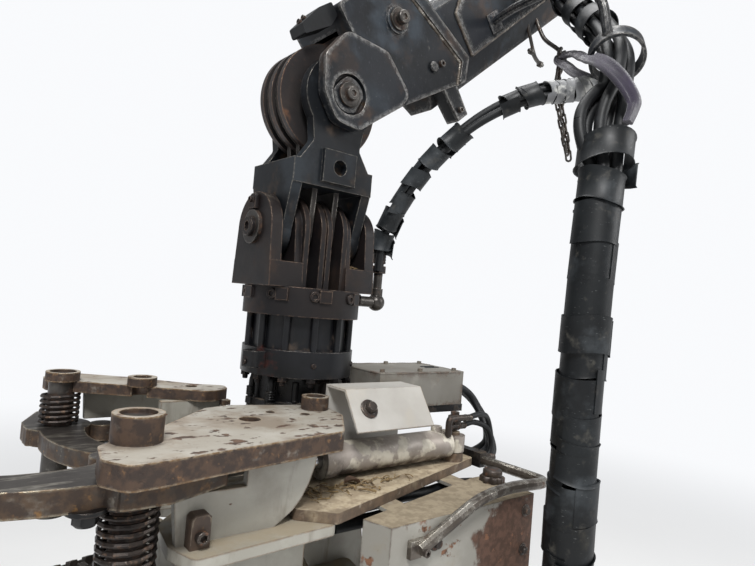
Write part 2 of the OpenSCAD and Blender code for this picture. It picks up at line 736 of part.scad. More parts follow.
module guard_pipe() {
  color([0.4, 0.4, 0.4]) shift_home() {
    sweep_tube(smooth_path(pipe_route, 3), 27, 10, [0, 0, 1]);
    block([20, 70], [-462, -450], [-668, -632]);
  }
}

module knife_pins() {
  color([0.35, 0.34, 0.33]) shift_home() {
    translate(near_pin) {
      rod_z(knife_pin_d, pin_plate_top - pin_plate_t, -deck_drop + 40);
      rod_z(76, pin_plate_top - pin_plate_t - 12, pin_plate_top - pin_plate_t);
    }
    translate(far_pin) {
      rod_z(knife_pin_d, pin_plate_top - pin_plate_t, -deck_drop + 16);
      rod_z(76, pin_plate_top - pin_plate_t - 12, pin_plate_top - pin_plate_t);
    }
    both_sides() translate(arm_pin_at) {
      rod_z(small_pin_d, arm_pin_low - 26, arm_pin_high + 26);
      rod_z(72, arm_pin_high + 26, arm_pin_high + 36);
    }
    both_sides() translate(rear_pin) {
      rod_z(small_pin_d, rear_pin_low, rear_pin_top);
      rod_z(70, rear_pin_top, rear_pin_top + 8);
    }
  }
}

// Coil springs press each knife against its stop.
near_knife_top = plate_low - 8;
far_spring_top = -deck_drop - far_plate_t;
far_knife_top = -530;
module coil(r, wire, low, high, turns, steps = 14) {
  rise = high - low - wire;
  pts = [for (i = [0:turns * steps])
    [r * cos(360 * i / steps), r * sin(360 * i / steps), low + wire / 2 + rise * i / (turns * steps)]];
  sweep_tube(pts, wire, 6, [0, 0, 1]);
}
module near_spring() {
  color([0.3, 0.27, 0.25]) shift_home() translate(near_pin)
    coil(45, 9, pin_plate_top + fit, near_knife_top - knife_t - fit, 14);
}
module far_spring() {
  color([0.3, 0.28, 0.27]) shift_home() translate(far_pin)
    coil(42, 8, far_knife_top + fit, far_spring_top - fit, 6);
}

// Delimbing knives, drawn open for the near side: the arc curls round from the hub.
knife_arc_centre = [-110, 300];
module knife_shape(scale_by, end_angle, hub_r) {
  c = knife_arc_centre * scale_by;
  r = knife_arc_r * scale_by;
  outer = [for (a = [-72:-6:end_angle]) c + polar(r + (58 - 38 * (-72 - a) / (-72 - end_angle)) * scale_by, a)];
  inner = [for (a = [end_angle:6:-72]) c + polar(r - (46 - 24 * (-72 - a) / (-72 - end_angle)) * scale_by, a)];
  polygon(concat(outer, inner, [[0, hub_r - 6], [hub_r - 4, 26]]));
  circle(r = hub_r);
  polygon(rounded([[-40, -hub_r + 2], [40, -hub_r], [160, -24], [161, 14], [60, 40], [-20, 60]], 10));
}
module knife(low, t) {
  eye = polar(knife_throw, 100);
  difference() {
    union() {
      translate([0, 0, low]) linear_extrude(t) knife_shape(1, -150, 74);
      translate(eye) rod_z(58, low, low + t);
    }
    rod_z(knife_pin_d + 2, low - 1, low + t + 1);
  }
}
module near_knife() {
  color([0.35, 0.33, 0.32]) shift_home() translate(near_pin) knife(near_knife_top - knife_t, knife_t);
}
module far_knife() {
  color([0.33, 0.31, 0.3]) shift_home() translate(far_pin) mirror([0, 1, 0]) rotate(-90)
    knife(far_knife_top - knife_t, knife_t);
}

// Knife cylinders, base on the shelf, rod under the knife's lug.
near_eye = near_pin + polar(knife_throw, 100);
far_eye_mirrored = near_pin + polar(knife_throw, 10);
module knife_cylinder_frame(eye, z) {
  base = [cyl_base.x, -cyl_base.y];
  d = eye - base;
  translate([base.x, base.y, z]) rotate(atan2(d.y, d.x)) children();
}
knife_barrel_l = 440;
module knife_barrel_solid() {
  difference() {
    union() {
      rod_z(64, -22, 22);
      rod_x(42, 10, 40);
      rod_x(knife_cyl_d, 34, knife_barrel_l);
      rod_x(knife_cyl_d + 8, knife_barrel_l - 30, knife_barrel_l + 8);
      translate([70, 0, 0]) rod_z(30, 20, knife_cyl_d / 2 + 12);
    }
    rod_z(34 + 2 * fit, -30, 30);
    rod_x(knife_rod_d + 2 * fit, 60, knife_barrel_l + 10);
  }
}
module knife_rod_solid(span, from) {
  rod_x(knife_rod_d, from, span - 20);
  translate([span, 0, 0]) rod_z(56, -20, 20);
  translate([span, 0, 0]) rod_z(30, -32, -19);
}
module near_knife_barrel() {
  color([0.75, 0.72, 0.68]) shift_home() knife_cylinder_frame(near_eye, near_cyl_z)
    knife_barrel_solid();
}
module far_knife_barrel() {
  color([0.75, 0.72, 0.68]) shift_home() mirror([0, 1, 0])
    knife_cylinder_frame(far_eye_mirrored, far_cyl_z) knife_barrel_solid();
}
module near_knife_rod() {
  color([0.8, 0.8, 0.82]) shift_home() knife_cylinder_frame(near_eye, near_cyl_z)
    knife_rod_solid(norm(near_eye - [cyl_base.x, -cyl_base.y]), 190);
}
module far_knife_rod() {
  color([0.8, 0.8, 0.82]) shift_home() mirror([0, 1, 0])
    knife_cylinder_frame(far_eye_mirrored, far_cyl_z)
      knife_rod_solid(norm(far_eye_mirrored - [cyl_base.x, -cyl_base.y]), 70);
}

// Feed arms and rollers.
// The arms are drawn with the rollers square to the frame, then turned in to where they rest.
arm_turn = -13;
roller_at = [-400, -415, -1065];
flange_x = -150;
roller_from = roller_at.x - roller_w / 2;
roller_face = 30;
motor_d = 150;
motor_end = roller_from + roller_face + 5;
seat_l = 26;
arm_lug_at = [-75, -395];
arm_base_at = [330, -250];
arm_cyl_z = -1000;
module turn_arm() {
  translate(arm_pin_at) rotate(arm_turn) translate(-arm_pin_at) children();
}
module feed_arm() {
  outline = [[104, -250], [60, -276], [0, -330], [-36, -410], [-80, -440], [-150, -466],
    [-150, -390], [-128, -352], [-70, -300], [10, -218], [60, -174], [104, -200]];
  difference() {
    union() {
      translate(arm_pin_at) rod_z(96, arm_pin_low, arm_pin_high);
      for (z = [-900, -1130]) plan_plate(rounded(outline, 12), z, z + 24);
      cross_plate(rounded([[-520, -1160], [-310, -1160], [-310, -850], [-520, -850]], 40),
        flange_x, flange_x + 22);
      translate([0, roller_at.y, roller_at.z]) rod_x(motor_d, motor_end, flange_x + 30);
      for (z = [[-1130, -1050], [-950, -880]])
        plan_plate([[-140, -440], [-60, -390], [0, -320], [-6, -300], [-70, -360], [-140, -410]],
          z[0], z[1]);
      translate(arm_lug_at) {
        rod_z(60, -1130, -1030);
        rod_z(60, -970, -880);
      }
    }
    translate(arm_pin_at) rod_z(small_pin_d + 1, arm_pin_low - 1, arm_pin_high + 1);
  }
}
module near_arm() {
  color([0.7, 0.7, 0.68]) shift_home() turn_arm() feed_arm();
}
module far_arm() {
  color([0.7, 0.7, 0.68]) shift_home() mirror([0, 1, 0]) turn_arm() feed_arm();
}
// A feed roller: drum with rows of pointed lugs, its hub running on the end of the arm's motor.
lug_rows = 5;
lug_count = 16;
module feed_roller() {
  from = roller_from;
  to = roller_from + roller_w;
  translate([0, roller_at.y, roller_at.z])
    difference() {
      union() {
        difference() {
          rod_x(roller_d, from, to);
          rod_x(roller_d - 36, from - 1, to - 30);
        }
        rod_x(190, from + 10, to - 1);
        for (i = [0:lug_count - 1]) rotate([i * 360 / lug_count, 0, 0])
          for (k = [0:lug_rows - 1])
            translate([from + 10 + k * (roller_w - 20) / lug_rows, 0, roller_d / 2 - 3])
              rotate([90, 0, 0]) linear_extrude(24, center = true)
                polygon([[0, 0], [34, 0], [26, lug_h + 3], [8, lug_h + 3]]);
      }
      rod_x(motor_d + 2 * fit, from + roller_face, to + 1);
      rod_x(motor_d + 2 * run, motor_end + seat_l, to + 1);
    }
}
module near_roller() {
  color([0.3, 0.28, 0.27]) shift_home() turn_arm() feed_roller();
}
module far_roller() {
  color([0.3, 0.28, 0.27]) shift_home() mirror([0, 1, 0]) turn_arm() feed_roller();
}

// Feed arm cylinders behind the arms.
arm_eye = arm_pin_at + norm(arm_lug_at - arm_pin_at)
  * polar(1, atan2(arm_lug_at.y - arm_pin_at.y, arm_lug_at.x - arm_pin_at.x) + arm_turn);
arm_cyl_span = norm(arm_eye - arm_base_at);
module arm_cylinder_frame() {
  d = arm_eye - arm_base_at;
  translate([arm_base_at.x, arm_base_at.y, arm_cyl_z]) rotate(atan2(d.y, d.x)) children();
}
module arm_barrel_solid() {
  difference() {
    union() {
      rod_z(56, -26, 26);
      rod_z(28, -54, 54);
      rod_x(70, 22, 262);
    }
    rod_x(36 + 2 * fit, 50, 270);
  }
}
module arm_rod_solid() {
  rod_x(36, 132, arm_cyl_span - 20);
  translate([arm_cyl_span, 0, 0]) rod_z(52, -24, 24);
}
module near_arm_barrel() {
  color([0.75, 0.73, 0.7]) shift_home() arm_cylinder_frame() arm_barrel_solid();
}
module far_arm_barrel() {
  color([0.75, 0.73, 0.7]) shift_home() mirror([0, 1, 0]) arm_cylinder_frame() arm_barrel_solid();
}
module near_arm_rod() {
  color([0.8, 0.8, 0.82]) shift_home() arm_cylinder_frame() arm_rod_solid();
}
module far_arm_rod() {
  color([0.8, 0.8, 0.82]) shift_home() mirror([0, 1, 0]) arm_cylinder_frame() arm_rod_solid();
}

// Lower knives near the saw.
rear_pin = [-440, -265];
module rear_knife(low) {
  translate(rear_pin) rotate(-55) difference() {
    translate([0, 0, low]) linear_extrude(26) knife_shape(0.82, -150, 56);
    rod_z(small_pin_d + 2, low - 1, low + 30);
  }
}
module near_rear_knife() {
  color([0.35, 0.33, 0.32]) shift_home() rear_knife(-1300);
}
module far_rear_knife() {
  color([0.35, 0.33, 0.32]) shift_home() mirror([0, 1, 0]) rear_knife(-1340);
}

// Saw box under the frame, its motor and the bar folded to the far side.
saw_pivot = [60, -120];
saw_z = -1560;
saw_shaft_d = 30;
module saw_box() {
  arm = [[-40, -side_out], [-300, -200], [-440, -322], [-494, -290], [-484, -222], [-400, -190],
    [-230, -side_out]];
  lid = [[-120, -230], [150, -230], [190, -190], [190, 560], [150, 590], [-30, 590], [-50, 560],
    [-50, 150], [-150, 150], [-150, -200]];
  color([0.7, 0.7, 0.68]) shift_home()
    difference() {
      union() {
        both_sides() for (z = [-1264, -1396]) plan_plate(rounded(arm, 14), z, z + 20);
        both_sides() block([-230, -152], [side_out, side_out + 14], [saw_top - 1, -1246]);
        block([-230, 190], [-side_out - 14, side_out + 14], [saw_top - 60, saw_top]);
        plan_plate(rounded(lid, 16), saw_z + 40, saw_z + 52);
        plan_plate(rounded(lid, 16), saw_z - 52, saw_z - 40);
        block([178, 190], [-190, 560], [saw_z - 41, saw_z + 41]);
        block([30, 190], [578, 590], [saw_z - 41, saw_z + 41]);
        block([-120, 150], [-230, -218], [saw_z - 41, saw_z + 41]);
        block([web_x, 190], [-side_out, side_out], [saw_z + 51, saw_top - 59]);
      }
      both_sides() translate(rear_pin)
        rod_z(small_pin_d + 2 * fit, rear_pin_low - 24, rear_pin_top + 4);
      translate(saw_pivot) rod_z(130, saw_z - 41, saw_top + 1);
      block([-110, 100], [-90, 90], [saw_z + 60, saw_top - 12]);
      translate(saw_pivot) rod_z(40, saw_z - 60, saw_z);
    }
}
module saw_motor() {
  color([0.25, 0.25, 0.26]) shift_home() {
    translate(saw_pivot) {
      rod_z(128, saw_z + 26, saw_top - 4);
      rod_z(saw_shaft_d, saw_z - 20, saw_z + 26);
    }
  }
}
module saw_bar() {
  w = 38;
  blade = concat([[-50, -w], [saw_bar_l - 90, -w * 0.9]],
    [for (a = [-80:20:80]) [saw_bar_l - 36, 0] + 34 * [cos(a), sin(a)]],
    [[saw_bar_l - 90, w * 0.9], [-50, w]]);
  color([0.45, 0.45, 0.46]) shift_home() translate(saw_pivot) rotate(90) {
    difference() {
      union() {
        plan_plate(blade, saw_z - 5, saw_z + 5);
        rod_z(100, saw_z - 16, saw_z + 20);
      }
      rod_z(saw_shaft_d + 2 * fit, saw_z - 20, saw_z + 24);
    }
  }
}

// Hose blocks: one low on the frame's near side, one behind the near shelf.
manifold_at = [193, -212, -1120];
shelf_block_x = 504;
module hose_manifold() {
  color([0.3, 0.3, 0.3]) shift_home() {
    block([manifold_at.x - 55, manifold_at.x + 55], [manifold_at.y, -side_out],
      [manifold_at.z - 62, manifold_at.z + 62]);
    block([476, shelf_block_x], [-243, -152], [-600, -560]);
  }
}

// Hoses. Routes are round numbers about the lower link pin.
main_route = [[983, -150, 1120], [907, -150, 1054], [832, -150, 988], [782, -205, 880],
  [732, -310, 765], [670, -415, 655], [590, -500, 540], [520, -540, 420], [470, -560, 280],
  [440, -570, 120], [425, -570, -60], [420, -568, -240], [420, -565, -420], [425, -560, -600],
  [440, -550, -780], [452, -525, -940], [446, -485, -1050], [405, -445, -1118], [335, -415, -1130],
  [255, -385, -1124], [205, -340, -1120], [193, -290, -1120], [193, -250, -1120],
  [193, -212.5, -1120]];
rotator_route = [[628, -432, 484], [555, -405, 460], [455, -330, 430], [370, -230, 360],
  [300, -140, 250], [262, -60, 130], [250, -10, 30], [250, 0, -30], [250, 0, -71.5]];
module main_hose() {
  color([0.05, 0.05, 0.05]) shift_home() sweep_tube(smooth_path(main_route, 3), main_hose_d, 12);
}
module rotator_hose() {
  color([0.06, 0.06, 0.06]) shift_home() sweep_tube(smooth_path(rotator_route, 4), rotator_hose_d, 10);
}
head_hose_from = [-110, -74, -38];
head_hose_to = [-228, -197, -166];
module head_hoses() {
  color([0.05, 0.05, 0.05]) shift_home()
    for (i = [0:2])
      let (a = head_hose_from[i], b = head_hose_to[i])
        sweep_tube(smooth_path([[488, a, -400], [520, a, -400], [560 + 24 * i, a - 14, -430],
          [572 + 36 * i, (a + b) / 2, -495], [562 + 24 * i, b + 14, -556], [532, b, -580],
          [shelf_block_x + 2.5, b, -580]], 3), small_hose_d, 8);
}

// Clamps on the boom's near side, and a bent bar with rings that carries the hanging hoses.
clamp_places = [1160, 1250];
hose_line_y = -150;
hose_line_drop = -60;
hang_ring_at = [590, -500, 540];
hang_bar_from = [700, -60];
hang_bar_route = [[567, -84, 759], [550, -180, 766], [532, -330, 756], [518, -440, 724],
  [514, -490, 664], [526, -503, 596], [534, -503, 577]];
module ring_on(p, dir, inner_d, outer_d, l) {
  translate(p) rotate([0, acos(dir.z), atan2(dir.y, dir.x)]) difference() {
    rod_z(outer_d, -l / 2, l / 2);
    rod_z(inner_d, -l / 2 - 1, l / 2 + 1);
  }
}
module hose_hook() {
  main_dir = unit(main_route[7] - main_route[5]);
  color([0.2, 0.2, 0.2]) shift_home() {
    on_boom() for (x = clamp_places) difference() {
      block([x - 16, x + 16], [hose_line_y - 68, -boom_w / 2], [hose_line_drop - 68, hose_line_drop + 24]);
      translate([0, hose_line_y, hose_line_drop]) rod_x(main_hose_d + 2, x - 20, x + 20);
    }
    on_boom() block([hang_bar_from.x - 30, hang_bar_from.x + 30], [-boom_w / 2 - 12, -boom_w / 2],
      [hang_bar_from.y - 30, hang_bar_from.y + 30]);
    difference() {
      sweep_tube(smooth_path(hang_bar_route, 3), 26, 10, [1, 0, 0]);
      translate(hang_ring_at) rotate([0, acos(main_dir.z), atan2(main_dir.y, main_dir.x)])
        rod_z(main_hose_d + 8, -60, 60);
    }
    ring_on(hang_ring_at, main_dir, main_hose_d + 8, main_hose_d + 26, 44);
    ring_on(rotator_route[0], unit(rotator_route[1] - rotator_route[0]), rotator_hose_d + 4,
      rotator_hose_d + 22, 30);
  }
}

boom_tube();
tip_fork();
boom_pins();
boom_brake_plates();
stop_pad();
hose_hook();
main_hose();
rotator_hose();
link_body();
link_brake_plates();
rotator_yoke();
rotator_drum();
lower_pin();
rotator_port();
rotor();
hanger();
hose_box();
head_hoses();
tilt_barrel();
tilt_rod();
main_frame();
tilt_pin();
near_deck();
far_deck();
near_side();
far_side();
near_shelf();
far_shelf();
cylinder_cover();
near_cover();
far_cover();
guard_pipe();
knife_pins();
near_spring();
far_spring();
near_knife();
far_knife();
near_knife_barrel();
far_knife_barrel();
near_knife_rod();
far_knife_rod();
near_arm();
far_arm();
near_roller();
far_roller();
near_arm_barrel();
far_arm_barrel();
near_arm_rod();
far_arm_rod();
near_rear_knife();
far_rear_knife();
saw_box();
saw_motor();
saw_bar();
hose_manifold();
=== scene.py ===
import math
import random

import bpy
import numpy as np
from mathutils import Matrix, Vector


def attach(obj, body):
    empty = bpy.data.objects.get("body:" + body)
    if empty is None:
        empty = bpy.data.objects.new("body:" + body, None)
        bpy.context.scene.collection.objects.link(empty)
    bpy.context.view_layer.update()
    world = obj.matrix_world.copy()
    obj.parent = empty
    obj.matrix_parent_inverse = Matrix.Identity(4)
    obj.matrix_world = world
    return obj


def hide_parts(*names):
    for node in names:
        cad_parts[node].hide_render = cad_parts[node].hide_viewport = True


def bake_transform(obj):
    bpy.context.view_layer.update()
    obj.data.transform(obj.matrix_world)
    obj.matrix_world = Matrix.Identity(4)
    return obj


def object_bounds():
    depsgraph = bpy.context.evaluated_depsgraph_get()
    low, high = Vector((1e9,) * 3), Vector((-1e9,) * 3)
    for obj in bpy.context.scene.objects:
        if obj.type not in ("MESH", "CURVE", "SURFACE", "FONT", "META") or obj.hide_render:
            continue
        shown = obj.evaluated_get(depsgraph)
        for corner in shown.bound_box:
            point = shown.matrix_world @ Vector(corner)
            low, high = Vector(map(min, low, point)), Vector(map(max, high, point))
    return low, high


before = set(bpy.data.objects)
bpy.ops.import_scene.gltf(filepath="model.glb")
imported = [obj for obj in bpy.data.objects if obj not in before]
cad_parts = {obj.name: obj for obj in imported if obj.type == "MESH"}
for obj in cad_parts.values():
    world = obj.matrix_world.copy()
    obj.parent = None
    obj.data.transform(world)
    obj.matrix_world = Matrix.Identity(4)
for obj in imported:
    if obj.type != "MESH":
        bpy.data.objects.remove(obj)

# Places are written in millimetres about the lower link pin, as the construction has them.
# home() turns them into the frame's metres: X towards the crane, -Y the near side, Z up.
BOOM_ANGLE = math.radians(41)
BOOM_REACH = 1.300
BOOM_MID = -0.046
UPPER_PIN_Z = 0.345
HOME = np.array([
    BOOM_REACH * math.cos(BOOM_ANGLE) - BOOM_MID * math.sin(BOOM_ANGLE),
    0,
    UPPER_PIN_Z + BOOM_REACH * math.sin(BOOM_ANGLE) + BOOM_MID * math.cos(BOOM_ANGLE),
])
X, Y, Z = np.eye(3)
BOOM_X = np.array([math.cos(BOOM_ANGLE), 0, math.sin(BOOM_ANGLE)])
BOOM_Z = np.array([-math.sin(BOOM_ANGLE), 0, math.cos(BOOM_ANGLE)])

cad_low, cad_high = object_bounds()


def home(point):
    return np.array(point, float) / 1000 - HOME


def on_boom(x, y, z):
    """A point given along the boom from the upper pin, across it and square to it, in mm."""
    return np.array([0, 0, UPPER_PIN_Z]) - HOME + (x * BOOM_X + y * Y + z * BOOM_Z) / 1000


def unit(v):
    return np.array(v, float) / np.linalg.norm(v)


def turn(u, v, angle):
    """The direction at an angle from u towards v."""
    return u * math.cos(angle) + v * math.sin(angle)


def angles(count):
    return np.linspace(0, 2 * math.pi, count, endpoint=False)


def new_object(name, data):
    made = bpy.data.objects.new(name, data)
    bpy.context.scene.collection.objects.link(made)
    return made


# Camera: the photograph's, from a fit of the lower link pin, the yoke's ears and the rotator's rims
CAMERA_AT = (-1.80054817, -1.28331383, -1.31767256)
CAMERA_TURN = -0.68080636
CAMERA_PITCH = -0.0296706
CAMERA_ROLL = 0.0837758
FOCAL_PX = 567
PHOTO_W = 755


def make_camera():
    """Sets the camera and returns its right-hand direction."""
    ahead = turn(turn(Y, -X, CAMERA_TURN), -Z, CAMERA_PITCH)
    right = unit(np.cross(ahead, Z))
    up = np.cross(right, ahead)
    turned_right = turn(right, up, CAMERA_ROLL)
    turned_up = turn(up, -right, CAMERA_ROLL)
    data = bpy.data.cameras.new("camera")
    data.sensor_width = 36
    data.lens = data.sensor_width * FOCAL_PX / PHOTO_W
    data.clip_start = 0.05
    data.clip_end = 100
    camera = new_object("camera", data)
    matrix = np.eye(4)
    matrix[:3, 0], matrix[:3, 1], matrix[:3, 2] = turned_right, turned_up, -ahead
    matrix[:3, 3] = CAMERA_AT
    camera.matrix_world = Matrix([list(row) for row in matrix])
    bpy.context.scene.camera = camera
    return turned_right


VIEW_RIGHT = make_camera()


# Meshes
LATHE_STEPS = 24


class Shape:
    """One piece, gathered from closed shells. Each shell has one of the piece's materials."""

    def __init__(self):
        self.points = []
        self.faces = []
        self.kinds = []

    def rings(self, rings, kind=0, loop=False):
        """Closed skin over rings of points, capped at both ends unless the rings form a loop."""
        n = len(rings[0])
        count = len(rings)
        faces = []
        for i in range(count if loop else count - 1):
            j = (i + 1) % count
            faces += [
                (i * n + k, i * n + (k + 1) % n, j * n + (k + 1) % n, j * n + k) for k in range(n)
            ]
        if not loop:
            faces += [tuple(range(n))[::-1], tuple((count - 1) * n + k for k in range(n))]
        first = len(self.points)
        self.points += [tuple(p) for ring in rings for p in ring]
        self.faces += [tuple(first + i for i in f) for f in faces]
        self.kinds += [kind] * len(faces)

    def lathe(self, profile, centre, axis):
        """Rings of (radius, height) in mm about an axis; a third value of 6 makes a hexagon."""
        a = unit(axis)
        side = unit(np.cross(a, Y if abs(a[1]) < 0.9 else X))
        other = np.cross(a, side)
        rings = []
        for row in profile:
            ring = []
            for angle in angles(LATHE_STEPS):
                grow = 1.0
                if len(row) == 3:
                    grow = 1 / math.cos((angle % (math.pi / 3)) - math.pi / 6)
                r = row[0] * grow / 1000
                ring.append(centre + a * row[1] / 1000 + r * turn(side, other, angle))
            rings.append(ring)
        self.rings(rings)

    def slab(self, outline, low, high, place, u, v, w, bevel, kind=0):
        """A plate with eased edges: outline in mm along u and v from place, low to high along w."""
        flat = np.array(outline, float)
        middle = flat.mean(0)
        away = np.linalg.norm(flat - middle, axis=1)[:, None]
        inner = middle + (flat - middle) * (1 - bevel / np.maximum(away, 2 * bevel))
        rings = []
        for pts, h in ((inner, low), (flat, low + bevel), (flat, high - bevel), (inner, high)):
            rings.append([place + (p[0] * u + p[1] * v + h * w) / 1000 for p in pts])
        self.rings(rings, kind)

    def tube(self, line, radius, sides=12, kind=0):
        """A round tube, or one whose radius in mm is a function of the share along it."""
        route = Route(line)
        last = len(route.line) - 1
        rings = []
        for i, p in enumerate(route.line):
            r = (radius(i / last) if callable(radius) else radius) / 1000
            rings.append([p + r * turn(route.u[i], route.v[i], a) for a in angles(sides)])
        self.rings(rings, kind)

    def make(self, name, finishes, sharp=40):
        mesh = bpy.data.meshes.new(name)
        mesh.from_pydata(self.points, [], self.faces)
        for f in finishes:
            mesh.materials.append(FINISHES[f])
        mesh.polygons.foreach_set("material_index", self.kinds)
        mesh.polygons.foreach_set("use_smooth", [True] * len(self.faces))
        mesh.update()
        mesh.set_sharp_from_angle(angle=math.radians(sharp))
        return new_object(name, mesh)

    def ride(self, name, body, slot, *finishes):
        obj = self.make(name, finishes)
        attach(obj, body)


def smooth(points, steps):
    """Catmull-Rom points through a list, steps between each pair."""
    p = [np.array(q, float) for q in points]
    out = []
    for i in range(len(p) - 1):
        a, b, c, d = p[max(i - 1, 0)], p[i], p[i + 1], p[min(i + 2, len(p) - 1)]
        for k in range(steps):
            t = k / steps
            out.append(0.5 * (2 * b + (c - a) * t + (2 * a - 5 * b + 4 * c - d) * t * t
                              + (3 * b - a - 3 * c + d) * t ** 3))
    return np.array(out + [p[-1]])


def home_line(points, steps):
    return [home(p) for p in smooth(points, steps)]


class Route:
    """A line with its direction and two sides at each point, carried along without twist."""

    def __init__(self, line):
        self.line = np.array(line, float)
        step = np.diff(self.line, axis=0)
        self.s = np.concatenate([[0], np.cumsum(np.linalg.norm(step, axis=1))])
        ahead = np.vstack([step, step[-1:]])
        ahead[1:-1] = self.line[2:] - self.line[:-2]
        self.t = ahead / np.linalg.norm(ahead, axis=1)[:, None]
        u = unit(np.cross(self.t[0], Y if abs(self.t[0][1]) < 0.9 else X))
        sides = []
        for t in self.t:
            u = unit(u - t * (u @ t))
            sides.append(u)
        self.u = np.array(sides)
        self.v = np.cross(self.t, self.u)

    def at(self, s):
        """Point, direction and sides at a distance along the line."""
        pick = [np.array([np.interp(s, self.s, a[:, k]) for k in range(3)])
                for a in (self.line, self.t, self.u, self.v)]
        return pick[0], unit(pick[1]), unit(pick[2]), unit(pick[3])

    def nearest(self, point):
        return float(self.s[np.linalg.norm(self.line - point, axis=1).argmin()])

    def length(self):
        return float(self.s[-1])

    def even(self, step):
        """Points at even distances along the whole line."""
        n = max(3, int(self.length() / step))
        return [self.at(s)[0] for s in np.linspace(0, self.length(), n)]


# Materials
# A face looks up between these heights of its normal, and a hollow's sides are this near in metres
TOP_FROM = 0.35
TOP_TO = 0.9
CAVITY_REACH = 0.05
SAMPLES = 4


def rgb(text):
    """Linear colour from a display colour written as six hex digits."""
    value = [int(text[i:i + 2], 16) / 255 for i in (0, 2, 4)]
    return [v / 12.92 if v <= 0.04045 else ((v + 0.055) / 1.055) ** 2.4 for v in value] + [1]


def put(tree, socket, value):
    """Links an output to a socket, or sets the socket to a plain value."""
    if isinstance(value, bpy.types.NodeSocket):
        tree.links.new(value, socket)
    else:
        socket.default_value = value


def add_node(tree, kind, inputs=None, **settings):
    made = tree.nodes.new(kind)
    for key, value in settings.items():
        setattr(made, key, value)
    for key, value in (inputs or {}).items():
        put(tree, made.inputs[key], value)
    return made


